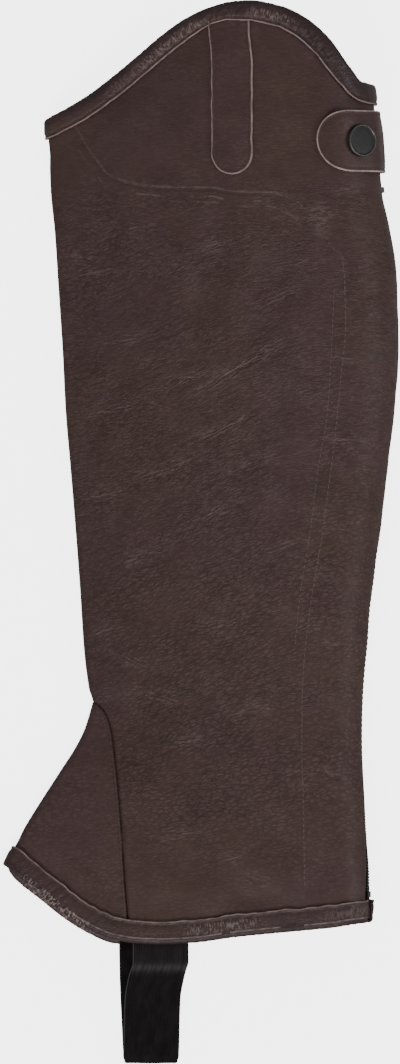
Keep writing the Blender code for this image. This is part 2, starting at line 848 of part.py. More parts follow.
def slider_frame():
    """The frame of the slider on the tape, with Z away from the leg."""
    def centre(along):
        return skin(zip_girth(along), along, -LEATHER - TAPE_GAP)
    here = centre(SLIDER_AT)
    upward = centre(SLIDER_AT + 4.0) - centre(SLIDER_AT - 4.0)
    across = skin(zip_girth(SLIDER_AT) + 2, SLIDER_AT) - skin(zip_girth(SLIDER_AT) - 2, SLIDER_AT)
    return frame_at(here, across.cross(upward), upward)


def make_zip(tape_material, metal):
    """Tape, closed chain, bottom stop, slider and pull."""
    low = HEM_OUTER(TAPE_HEM_AT) + ROLL_REACH + HEM_DEPTH + TAPE_END_GAP
    high = TOP_OUTER(TAPE_TOP_AT) - ROLL_REACH - BINDING_DEPTH - TAPE_END_GAP
    tape_top = -LEATHER - TAPE_GAP
    tape_lifts = (tape_top, tape_top - TAPE)
    zip_band("zip_tape", low, high, TAPE_WIDTH, tape_lifts, ZIP_ROWS, tape_material)

    chain_lifts = (tape_top + LAYER_GAP + CHAIN, tape_top + LAYER_GAP)
    chain_low = CHAIN_BOTTOM + STOP_LENGTH + SEAM_GAP
    chain_high = SLIDER_AT - SLIDER_LENGTH / 2 - SEAM_GAP
    zip_band("zip_chain", chain_low, chain_high, CHAIN_WIDTH, chain_lifts, ZIP_ROWS, metal)
    stop_lifts = (chain_lifts[0] + STOP_PROUD, chain_lifts[1])
    stop_high = CHAIN_BOTTOM + STOP_LENGTH
    stop_width = CHAIN_WIDTH + 2 * STOP_SIDE
    zip_band("zip_stop", CHAIN_BOTTOM, stop_high, stop_width, stop_lifts, 1, metal)

    frame = slider_frame()
    half_width = SLIDER_WIDTH / 2
    half_length = SLIDER_LENGTH / 2
    body = box(
        "zip_slider", (-half_width, -half_length, SLIDER_GAP),
        (half_width, half_length, SLIDER_HEIGHT), metal, bevel=0.7, parent=frame,
    )
    bar_height = SLIDER_HEIGHT + BAR_LIFT
    ears = []
    for index, side in enumerate((-1, 1)):
        near = side * EAR_GAP / 2
        far = side * (EAR_GAP / 2 + EAR_THICK)
        ears.append(box(
            f"ear_{index}", (min(near, far), -EAR_LENGTH / 2, SLIDER_HEIGHT - EAR_SUNK),
            (max(near, far), EAR_LENGTH / 2, bar_height + EAR_OVER_BAR), metal, parent=frame,
        ))
    bar_frame = frame @ Matrix.Translation((0, 0, bar_height * MM))
    bar = rod("bar", BAR_RADIUS, EAR_GAP + EAR_THICK, metal, bar_frame)
    combine(body, "UNION", *ears, bar)
    make_pull(bar_frame, metal)


def make_pull(bar_frame, metal):
    """The pull: a barrel on the bar and a flat grip that hangs down the zip."""
    barrel = rod("zip_pull", PULL_BARREL, PULL_WIDTH, metal, bar_frame, 24)
    low = -PULL_BARREL
    arm = box(
        "pull_arm", (-PULL_WIDTH / 2 + 0.2, -PULL_LENGTH * 0.45, low),
        (PULL_WIDTH / 2 - 0.2, -PULL_BORE, low + PULL_THICK), metal, parent=bar_frame,
    )
    grip = box(
        "pull_grip", (-PULL_GRIP_WIDTH / 2, -PULL_LENGTH, low + 0.05),
        (PULL_GRIP_WIDTH / 2, -PULL_LENGTH * 0.38, low + PULL_THICK - 0.05),
        metal, bevel=0.3, parent=bar_frame,
    )
    bore = rod("pull_bore", PULL_BORE, PULL_WIDTH * 2, metal, bar_frame, 24)
    window = box(
        "pull_window", (-PULL_WINDOW_WIDTH / 2, -PULL_LENGTH + PULL_WINDOW_END, low - 2),
        (PULL_WINDOW_WIDTH / 2, -PULL_LENGTH * 0.5, low + 4), metal, parent=bar_frame,
    )
    combine(barrel, "UNION", arm, grip)
    combine(barrel, "DIFFERENCE", bore, window)


# Stirrup

def stirrup_line(points, count):
    """Evenly spaced rows on a smooth line through stirrup points."""
    run = [0.0]
    for before, after in zip(points, points[1:]):
        run.append(run[-1] + hypot(after.along - before.along, after.height - before.height))
    Row = namedtuple("Row", ("run",) + StirrupPoint._fields)
    rows = [Row(distance, *point) for distance, point in zip(run, points)]
    curves = [Curve(rows, "run", field) for field in StirrupPoint._fields]
    places = np.linspace(0, run[-1], count + 1)
    return [StirrupPoint(*(curve(place) for curve in curves)) for place in places]


def ribbon(name, rows, outward_up, finish_material):
    """An elastic ribbon whose outer face runs through stirrup points, foot first."""
    columns = 2
    last = len(rows) - 1

    def place(column, row, face):
        point = rows[row]
        before = rows[max(row - 1, 0)]
        after = rows[min(row + 1, last)]
        run = Vector((after.along - before.along, after.height - before.height)).normalized()
        side = (column / columns - 0.5) * STIRRUP_WIDTH
        turn = radians(point.tilt)
        inward = -ELASTIC * face if outward_up else ELASTIC * face
        return (
            point.centre + side * cos(turn),
            point.along - run.y * inward,
            point.height + side * sin(turn) + run.x * inward,
        )

    return sheet(name, columns, last, place, finish_material)


def make_stirrup(elastic):
    """The elastic under the boot, from the outer hem round to the inner one."""
    start = STIRRUP_FRONT[0]
    hem = edge_along(HEM, -1, lambda along: ring(round(along, 4)).outer_girth(start.centre))
    under = LEATHER + 2 * SEAM_GAP + BINDING_LEATHER
    inside = []
    for along in (hem - ROLL_REACH - 1.5, hem + STIRRUP_INSIDE / 2, hem + STIRRUP_INSIDE):
        section = ring(round(along, 4))
        left = skin(section.outer_girth(start.centre - STIRRUP_TILT_REACH), along, -under)
        right = skin(section.outer_girth(start.centre + STIRRUP_TILT_REACH), along, -under)
        tilt = atan((right.z - left.z) / (right.x - left.x)) * 180 / pi
        inside.append(StirrupPoint(along, (left.z + right.z) / 2 - SEAM_GAP / 2, start.centre, tilt))
    bend = []
    centre = STIRRUP_FRONT[-1].centre
    for turn in np.linspace(90, 270, 7):
        bend.append(StirrupPoint(
            STIRRUP_BOTTOM + STIRRUP_BEND + STIRRUP_BEND * cos(radians(turn)),
            STIRRUP_BEND + STIRRUP_BEND * sin(radians(turn)), centre - 0.2, 0.0,
        ))
    foot = StirrupPoint(STIRRUP_BACK[0].along - 1.5, 0.0, centre - 0.2, 0.0)
    front = inside[::-1] + list(STIRRUP_FRONT) + bend + [foot]
    ribbon("stirrup_outer", stirrup_line(front, STIRRUP_STEPS)[::-1], True, elastic)
    back = [foot._replace(along=foot.along + SEAM_GAP)] + list(STIRRUP_BACK)
    ribbon("stirrup_inner", stirrup_line(back, ceil(STIRRUP_STEPS / 2)), False, elastic)


def clear_scene():
    """Remove whatever the open file holds."""
    for obj in list(bpy.data.objects):
        bpy.data.objects.remove(obj, do_unlink=True)


def main():
    """Build the half chap."""
    clear_scene()
    leather = material("brown_leather", (0.056, 0.034, 0.032), 0.6)
    edge_leather = material("binding_leather", (0.07, 0.042, 0.038), 0.6)
    strap_leather = material("strap_leather", (0.060, 0.037, 0.034), 0.58)
    elastic = material("black_elastic", (0.008, 0.007, 0.0075), 0.9)
    tape = material("black_tape", (0.010, 0.009, 0.009), 0.85)
    gunmetal = material("gunmetal", (0.030, 0.028, 0.028), 0.4, 1.0)
    make_leather(leather)
    make_bindings(edge_leather)
    make_tongue(strap_leather)
    make_tab(strap_leather)
    make_snap(gunmetal)
    make_zip(tape, gunmetal)
    make_stirrup(elastic)


main()
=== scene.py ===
"""A leather half chap, laid flat on its inner side with the zip at the back.

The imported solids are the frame.  Every soft piece here is made again as thin
cloth on the same form: a leg that is folded at the shin and round at the back.
Sizes are in millimetres until a mesh is placed, which is in metres.
"""

import logging
from collections.abc import Callable, Sequence
from dataclasses import dataclass, field
from enum import Enum
from math import atan, cos, hypot, pi, radians, sin

import bmesh
import bpy
import numpy as np
from mathutils import Matrix, Vector


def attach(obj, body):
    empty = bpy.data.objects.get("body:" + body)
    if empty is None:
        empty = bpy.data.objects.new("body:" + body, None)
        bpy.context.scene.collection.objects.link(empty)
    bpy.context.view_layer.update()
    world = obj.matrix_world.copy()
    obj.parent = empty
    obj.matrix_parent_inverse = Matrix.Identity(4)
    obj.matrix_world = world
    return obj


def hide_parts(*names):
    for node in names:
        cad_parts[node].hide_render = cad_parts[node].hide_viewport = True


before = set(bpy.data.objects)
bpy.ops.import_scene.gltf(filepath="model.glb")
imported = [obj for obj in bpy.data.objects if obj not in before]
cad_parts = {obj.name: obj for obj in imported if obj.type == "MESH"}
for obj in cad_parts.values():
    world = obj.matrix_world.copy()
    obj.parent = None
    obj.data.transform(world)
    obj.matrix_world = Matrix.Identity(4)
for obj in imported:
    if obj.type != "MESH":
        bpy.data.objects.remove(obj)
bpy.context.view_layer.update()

log = logging.getLogger("half_chap")

MM = 0.001
Floats = np.ndarray
Colour = tuple[float, float, float]
Rows = tuple[tuple[float, ...], ...]
Girths = Callable[[Floats, Floats], Floats]

# The leg's sections: along, front edge, back edge, depth over the back, zip direction
SECTIONS: Rows = (
    (282.0, -84.0, 91.0, 52.0, -32.0),
    (237.0, -82.5, 92.6, 53.0, -32.0),
    (218.4, -81.9, 94.0, 54.0, -32.0),
    (197.2, -79.9, 95.4, 54.0, -32.0),
    (181.3, -79.2, 96.7, 54.0, -32.0),
    (160.1, -77.1, 101.0, 54.0, -31.0),
    (128.3, -75.0, 105.1, 53.0, -30.0),
    (96.5, -72.9, 105.7, 52.0, -29.0),
    (64.7, -71.3, 103.6, 49.0, -28.0),
    (32.9, -68.6, 99.8, 46.0, -27.0),
    (1.1, -66.0, 96.1, 43.0, -26.0),
    (-30.7, -63.6, 91.9, 40.0, -25.0),
    (-62.5, -61.5, 88.7, 37.0, -23.0),
    (-83.7, -58.8, 87.0, 35.5, -21.0),
    (-90.1, -56.9, 86.6, 35.0, -20.0),
    (-94.3, -57.9, 86.4, 34.5, -19.5),
    (-104.9, -61.2, 86.3, 34.0, -18.5),
    (-115.5, -66.5, 86.4, 33.5, -17.5),
    (-126.1, -73.4, 86.9, 33.0, -16.0),
    (-157.9, -93.5, 88.6, 31.5, -4.0),
    (-177.0, -104.1, 90.0, 31.0, 6.0),
    (-194.0, -113.5, 91.1, 30.5, 15.0),
    (-218.0, -126.8, 91.5, 30.0, 18.0),
)

# The finished top line and hem: across, on the outer side, on the inner side
TOP_LINE: Rows = (
    (-86.0, 217.6, 217.6), (-81.9, 220.1, 220.1), (-71.8, 225.2, 224.0),
    (-59.1, 232.7, 230.7), (-46.4, 242.1, 239.6), (-33.7, 252.4, 249.6),
    (-20.9, 263.1, 260.2), (-8.2, 271.9, 269.0), (4.5, 277.7, 275.0),
    (17.2, 280.9, 278.0), (26.0, 281.4, 278.6), (42.7, 278.3, 275.6),
    (55.4, 272.4, 269.5), (68.1, 261.8, 259.0), (80.8, 245.4, 243.5),
    (87.2, 238.5, 237.8), (93.5, 237.4, 237.4), (106.0, 237.4, 237.4),
)
HEM_LINE: Rows = (
    (-108.0, -175.6, -175.6), (-103.6, -178.1, -178.5), (-97.3, -183.1, -185.7),
    (-84.5, -193.3, -196.0), (-71.8, -203.3, -206.0), (-59.1, -211.2, -213.8),
    (-46.4, -216.4, -219.0), (-33.7, -218.5, -220.3), (-20.9, -219.0, -219.3),
    (-1.9, -218.0, -217.1), (17.2, -215.3, -214.3), (42.7, -212.7, -211.6),
    (68.1, -210.3, -209.2), (90.4, -207.7, -207.7), (106.0, -207.7, -207.7),
)

# The ankle seam, from the shin fold down to the hem: along, across
ANKLE_SEAM: Rows = (
    (-90.0, -56.5), (-94.9, -50.6), (-104.4, -46.9), (-118.7, -44.8),
    (-146.3, -42.1), (-174.4, -40.0), (-205.1, -37.9), (-222.0, -37.0),
)

# How far the snap tab stands off the leather: distance from the snap, lift
TAB_LIFT: Rows = (
    (-24.2, 0.45), (-17.0, 1.1), (-9.0, 3.9), (0.0, 2.9),
    (9.0, 3.9), (19.0, 1.7), (32.0, 0.9), (50.8, 0.45),
)

# The stirrup below the hem: along, height, centre, tilt
STIRRUP_FRONT: Rows = (
    (-228.0, 18.3, -20.6, 4.0), (-236.0, 15.2, -22.8, 3.0),
    (-248.0, 11.0, -24.9, 1.5), (-262.0, 7.8, -25.4, 0.5),
    (-273.0, 6.4, -25.6, 0.0),
)
STIRRUP_BACK: Rows = (
    (-274.0, 0.0, -26.0, 0.0), (-238.0, 0.0, -27.6, 0.0),
    (-229.0, 2.0, -27.8, 0.0), (-222.0, 5.3, -27.9, 0.0),
    (-207.0, 5.3, -27.9, 0.0),
)


class Slot(Enum):
    """Material slots."""

    LEATHER = "leather"
    BINDING = "binding"
    ELASTIC = "elastic"
    TAPE = "tape"
    TEETH = "zip_teeth"
    GUNMETAL = "gunmetal"


class Side(Enum):
    """The two ends of the leg that a binding closes, with their direction."""

    TOP = 1
    HEM = -1


# Smooth lines, easing and unevenness

class SmoothLine:
    """A line through points that never overshoots them."""

    def __init__(self, xs: Sequence[float], ys: Sequence[float]) -> None:
        """Set out the line.

        Args:
            xs: where the points lie, in any order.
            ys: the line's value at each.
        """
        order = np.argsort(xs)
        self.x = np.asarray(xs, dtype=float)[order]
        self.y = np.asarray(ys, dtype=float)[order]
        rise = np.diff(self.y) / np.diff(self.x)
        slope = np.zeros_like(self.x)
        slope[0], slope[-1] = rise[0], rise[-1]
        for i in range(1, len(self.x) - 1):
            if rise[i - 1] * rise[i] > 0:
                slope[i] = 2 / (1 / rise[i - 1] + 1 / rise[i])
        self.slope = slope

    def __call__(self, x: Floats | float) -> Floats:
        """Read the line.

        Args:
            x: where to read it; past its ends it runs on straight.

        Returns:
            its value at each x.
        """
        x = np.asarray(x, dtype=float)
        held = np.clip(x, self.x[0], self.x[-1])
        i = np.clip(np.searchsorted(self.x, held) - 1, 0, len(self.x) - 2)
        width = self.x[i + 1] - self.x[i]
        t = (held - self.x[i]) / width
        start = (1 + 2 * t) * (1 - t) ** 2 * self.y[i] + t * (1 - t) ** 2 * width * self.slope[i]
        end = t * t * (3 - 2 * t) * self.y[i + 1] + t * t * (t - 1) * width * self.slope[i + 1]
        past = np.where(x < held, self.slope[0], self.slope[-1]) * (x - held)
        return start + end + past

    def steepness(self, x: Floats, step: float = 0.5) -> Floats:
        """The line's slope at x."""
        return (self(x + step) - self(x - step)) / (2 * step)


def column_of(rows: Rows, key: int, value: int) -> SmoothLine:
    """A smooth line through two columns of a table."""
    return SmoothLine([row[key] for row in rows], [row[value] for row in rows])


def ease(value: Floats | float, start: Floats | float, end: Floats | float) -> Floats:
    """0 at start and 1 at end, with an even ease between."""
    t = np.clip((value - start) / (end - start), 0.0, 1.0)
    return t * t * (3 - 2 * t)


def hump(distance: Floats, width: float) -> Floats:
    """A soft hump, 1 at no distance and gone at about twice its width."""
    return np.exp(-((distance / width) ** 2))


def length_along(points: Floats) -> Floats:
    """The way run at each point of a line, from its first one."""
    return np.concatenate([[0.0], np.linalg.norm(np.diff(points, axis=0), axis=1).cumsum()])


def unit(vectors: Floats) -> Floats:
    """Scale vectors to unit length."""
    return vectors / np.linalg.norm(vectors, axis=-1, keepdims=True)


class Unevenness:
    """A wavering value along a length, from sines that never line up."""

    def __init__(self, seed: int, sizes: Sequence[float]) -> None:
        """Draw the waves.

        Args:
            seed: which waver this is.
            sizes: the rough length of each wave, in millimetres.
        """
        draw = np.random.default_rng(seed)
        self.sizes = np.array(sizes) * draw.uniform(0.85, 1.15, len(sizes))
        self.starts = draw.uniform(0, 2 * pi, len(sizes))
        self.drift = draw.uniform(0.5, 1.5, len(sizes))

    def __call__(self, at: Floats) -> Floats:
        """Read the waver.

        Args:
            at: places along the length.

        Returns:
            a value at each, between about -1 and 1.
        """
        at = np.asarray(at, dtype=float)[..., None]
        bent = at + self.sizes * 0.35 * np.sin(at / (self.sizes * self.drift * 1.7))
        waves = np.sin(2 * pi * bent / self.sizes + self.starts)
        return waves.mean(axis=-1) * 1.6


# The form of the leg

@dataclass
class LegForm:
    """The closed, flattened leg that every leather piece lies on.

    A place is (girth, along): the way round the outside from the shin fold,
    over the outer side, round the back and home along the inner side, and Y.
    """

    leather: float = 1.6
    binding_leather: float = 1.1
    binding_gap: float = 0.55
    shin_radius: float = 4.6
    dome_power: float = 1.7
    roll_centre: float = 0.3
    draw_outer: float = 0.6
    draw_full: float = 15.0
    draw_end: float = 27.0
    ankle: float = -90.0
    instep_top: float = -92.5
    zip_opening: float = 10.0
    lowest: float = -292.0
    highest: float = 296.0
    step: float = 0.5
    samples: int = 1400
    fold_steps: int = 16
    dome_steps: int = 192
    back_steps: int = 96
    under_steps: int = 32

    def __post_init__(self) -> None:
        """Read the tables and trace every section once."""
        self.front, self.back, self.depth, self.zip_turn = (
            column_of(SECTIONS, 0, column) for column in (1, 2, 3, 4)
        )
        self.lines = {
            side: (column_of(rows, 0, 1), column_of(rows, 0, 2))
            for side, rows in ((Side.TOP, TOP_LINE), (Side.HEM, HEM_LINE))
        }
        self.seam = column_of(ANKLE_SEAM, 0, 1)
        self.roll_radius = self.leather / 2 + self.binding_gap
        self.roll_reach = self.roll_radius - self.roll_centre + self.binding_leather
        self.draw_inner = self.binding_leather + self.binding_gap
        self._trace()

    def _trace(self) -> None:
        """Lay out the sections as tables of X and Z over even steps round them."""
        self.alongs = np.arange(self.lowest, self.highest, self.step)
        fold = self.shin_radius
        front = self.front(self.alongs)[:, None]
        radius = self.depth(self.alongs)[:, None] / 2
        centre = self.back(self.alongs)[:, None] - radius
        rise = np.arctan(self.dome_power * 2 * (radius - fold) / (centre - front))

        def arc(x: Floats, size: Floats | float, turn: Floats) -> tuple[Floats, Floats]:
            """A round stretch that stands on the ground below its centre at x."""
            return x + size * np.cos(turn), size + size * np.sin(turn) + 0 * x

        turn = pi - np.linspace(0, 1, self.fold_steps + 1)[None, :] * (pi / 2 - rise)
        parts = [arc(front + fold, fold, turn)]
        first_x, first_z = parts[0][0][:, -1:], parts[0][1][:, -1:]
        t = np.linspace(0, 1, self.dome_steps + 1)[None, 1:]
        climb = 1 - (1 - t) ** self.dome_power
        parts.append((first_x + t * (centre - first_x), first_z + climb * (2 * radius - first_z)))
        parts.append(arc(centre, radius, np.linspace(pi / 2, -pi / 2, self.back_steps + 1)[None, 1:]))
        t = np.linspace(0, 1, self.under_steps + 1)[None, 1:]
        parts.append((centre + t * (front + fold - centre), 0 * (front + t)))
        parts.append(arc(front + fold, fold, np.linspace(-pi / 2, -pi, self.fold_steps + 1)[None, 1:]))

        x, z = (np.concatenate([part[i] for part in parts], axis=1) for i in (0, 1))
        run = np.hypot(np.diff(x), np.diff(z)).cumsum(axis=1)
        run = np.concatenate([np.zeros((len(run), 1)), run], axis=1)
        self._length = run[:, -1]
        self._back_at = run[:, self.fold_steps + self.dome_steps]
        self._inner_at = run[:, self.fold_steps + self.dome_steps + self.back_steps]
        share = np.linspace(0, 1, self.samples)
        self._x, self._z = (
            np.array([np.interp(share * r[-1], r, row) for r, row in zip(run, table)]) for table in (x, z)
        )

    def length(self, along: Floats) -> Floats:
        """The whole way round the section."""
        return np.interp(along, self.alongs, self._length)

    def back_at(self, along: Floats) -> Floats:
        """The girth where the round back starts on the outer side."""
        return np.interp(along, self.alongs, self._back_at)

    def inner_at(self, along: Floats) -> Floats:
        """The girth where the inner side starts."""
        return np.interp(along, self.alongs, self._inner_at)

    def _sample(self, girth: Floats, along: Floats) -> tuple[Floats, Floats]:
        """Read the traced sections.

        Args:
            girth: the way round.
            along: the Y of each place.

        Returns:
            X and Z, each between its four nearest samples.
        """
        spot = np.clip((along - self.alongs[0]) / self.step, 0, len(self.alongs) - 1.001)
        low = spot.astype(int)
        up = spot - low
        u = (girth / self.length(along)) % 1.0 * (self.samples - 1)
        k = np.minimum(u.astype(int), self.samples - 2)
        f = u - k
        found = []
        for table in (self._x, self._z):
            lower = table[low, k] * (1 - f) + table[low, k + 1] * f
            upper = table[low + 1, k] * (1 - f) + table[low + 1, k + 1] * f
            found.append(lower * (1 - up) + upper * up)
        return found[0], found[1]

    def at(self, girth: Floats, along: Floats) -> tuple[Floats, Floats, Floats, Floats]:
        """Find places on the form.

        Args:
            girth: the way round.
            along: the Y of each place.

        Returns:
            x, z, and the outward direction's x and z.
        """
        girth, along = np.broadcast_arrays(np.asarray(girth, float), np.asarray(along, float))
        x, z = self._sample(girth, along)
        ahead, behind = self._sample(girth + 0.5, along), self._sample(girth - 0.5, along)
        dx, dz = ahead[0] - behind[0], ahead[1] - behind[1]
        size = np.hypot(dx, dz)
        return x, z, -dz / size, dx / size

    def spot(self, girth: Floats, along: Floats) -> tuple[Floats, Floats, Floats]:
        """Say where places are on the leg.

        Args:
            girth: the way round, in any turn.
            along: the Y of each place.

        Returns:
            the girth in the first turn, the X, and the share of the inner side.
        """
        girth = girth % self.length(along)
        return girth, self._sample(girth, along)[0], self.inner_share(girth, along)

    def _girth_of(self, x: Floats, along: Floats, low: Floats, high: Floats, way: int) -> Floats:
        """Find the girth at which the form reaches an X.

        Args:
            x: the X of each place.
            along: its Y.
            low: the least girth it can have.
            high: the greatest.
            way: 1 where X grows with the girth, and -1 where it falls.

        Returns:
            the girths.
        """
        x, along, low, high = np.broadcast_arrays(x, along, low, high)
        for _ in range(26):
            middle = (low + high) / 2
            short = way * (self._sample(middle, along)[0] - x) < 0
            low, high = np.where(short, middle, low), np.where(short, high, middle)
        return (low + high) / 2

    def outer_girth(self, x: Floats, along: Floats) -> Floats:
        """The girth of the outer side's point above x."""
        along = np.asarray(along, float)
        return self._girth_of(x, along, 0 * along, self.back_at(along), 1)

    def inner_girth(self, x: Floats, along: Floats) -> Floats:
        """The girth of the inner side's point below x."""
        return self._girth_of(x, along, self.inner_at(along), self.length(along) - 1e-4, -1)

    def back_girth(self, turn: Floats, along: Floats) -> Floats:
        """The girth on the round back at an angle in degrees, turned up from +X."""
        return self.back_at(along) + self.depth(along) / 2 * np.radians(90.0 - turn)

    def zip_girth(self, along: Floats) -> Floats:
        """The girth of the zip's centre line."""
        return self.back_girth(self.zip_turn(along), along)

    def inner_share(self, girth: Floats, along: Floats) -> Floats:
        """Tell the inner side from the outer one.

        Args:
            girth: the way round.
            along: the Y of each place.

        Returns:
            1 along the inner side and 0 along the outer one, easing round the folds.
        """
        length = self.length(along)
        girth = girth % length
        back = ease(girth, self.back_girth(-20.0, along), self.inner_at(along))
        return back * (1 - ease(girth, length - self.shin_radius * pi / 2, length))

    def edge_height(self, side: Side, girth: Floats, along: Floats) -> Floats:
        """Find where the leather itself ends under the roll of a binding.

        Args:
            side: the end of the leg.
            girth: the way round.
            along: the Y of each place.

        Returns:
            the Y of the leather's edge.
        """
        outer, inner = self.lines[side]
        girth, x, share = self.spot(girth, along)
        wide = np.maximum(x, self.back(along) - self.depth(along) / 2)
        on_inner = girth >= self.inner_at(along)
        round_back = (girth > self.back_at(along)) & ~on_inner
        height = np.where(on_inner, inner(x), outer(x))
        height = np.where(round_back, outer(wide) * (1 - share) + inner(wide) * share, height)
        steep = np.where(share > 0.5, inner.steepness(x), outer.steepness(x))
        return height - side.value * self.roll_reach * np.sqrt(1 + steep**2)

    def from_end(self, girth: Floats, along: Floats) -> Floats:
        """How far the nearer end of the leather is."""
        below_top = self.edge_height(Side.TOP, girth, along) - along
        return np.minimum(below_top, along - self.edge_height(Side.HEM, girth, along))

    def edge_along(self, side: Side, girths: Girths, share: Floats) -> Floats:
        """Find the Y at which columns meet their edge.

        Args:
            side: the end of the leg.
            girths: a column's girth from its share and its Y.
            share: the columns' shares.

        Returns:
            one Y for each share.
        """
        along = np.full(np.shape(share), 250.0 if side is Side.TOP else -200.0)
        for _ in range(24):
            along = along + 0.7 * (self.edge_height(side, girths(share, along), along) - along)
        return along

    def skin(self, girth: Floats, along: Floats, lift: Floats | float = 0.0) -> Floats:
        """Lay out points at a height above the leather.

        Args:
            girth: the way round.
            along: the Y of each point.
            lift: the height above the outer face of the leather.

        Returns:
            an array of points, X, Y and Z last.
        """
        girth, along, lift = np.broadcast_arrays(
            np.asarray(girth, float), np.asarray(along, float), np.asarray(lift, float)
        )
        x, z, nx, nz = self.at(girth, along)
        share = self.inner_share(girth, along)
        drawn = self.draw_outer * (1 - share) + self.draw_inner * share
        height = lift - drawn * (1 - ease(self.from_end(girth, along), self.draw_full, self.draw_end))
        return np.stack([x + nx * height, along, z + nz * height], axis=-1)

    def outward(self, girth: Floats, along: Floats) -> Floats:
        """Find the outward direction of the skin.

        Args:
            girth: the way round.
            along: the Y of each place.

        Returns:
            unit vectors.
        """
        step = 0.6
        across = self.skin(girth + step, along) - self.skin(girth - step, along)
        up = self.skin(girth, along + step) - self.skin(girth, along - step)
        return unit(np.cross(across, up))

    def flattened(self, girth: Floats, along: Floats) -> Floats:
        """How much of its relief a place keeps: none at an end or on the shin fold."""
        fold = np.minimum(girth, self.length(along) - girth)
        return ease(self.from_end(girth, along), 9.0, 18.0) * ease(fold, 1.0, 9.0)

    def seam_outer(self, along: Floats) -> Floats:
        """The girth of the ankle seam on the outer side, 0 above the ankle."""
        below = np.minimum(along, self.ankle)
        return np.where(along >= self.ankle, 0.0, self.outer_girth(self.seam(below), below))

    def seam_inner(self, along: Floats) -> Floats:
        """The girth of the ankle seam on the inner side, home at the fold above it."""
        below = np.minimum(along, self.ankle)
        return np.where(along >= self.ankle, self.length(along), self.inner_girth(self.seam(below), below))

    def from_seam(self, girth: Floats, along: Floats) -> Floats:
        """How far past the ankle seam a place is, on either side of the leg."""
        inner = self.seam_inner(along) - girth
        return np.where(self.inner_share(girth, along) > 0.5, inner, girth - self.seam_outer(along))

    def outer_column(self, share: Floats, along: Floats) -> Floats:
        """A column of the leg's outer side, from the fold or seam to the zip."""
        start = self.seam_outer(along)
        return start + share * (self.zip_girth(along) - self.zip_opening / 2 - start)

    def inner_column(self, share: Floats, along: Floats) -> Floats:
        """A column of the leg's inner side, from the zip to the fold or seam."""
        start = self.zip_girth(along) + self.zip_opening / 2
        return start + share * (self.seam_inner(along) - start)


# Meshes

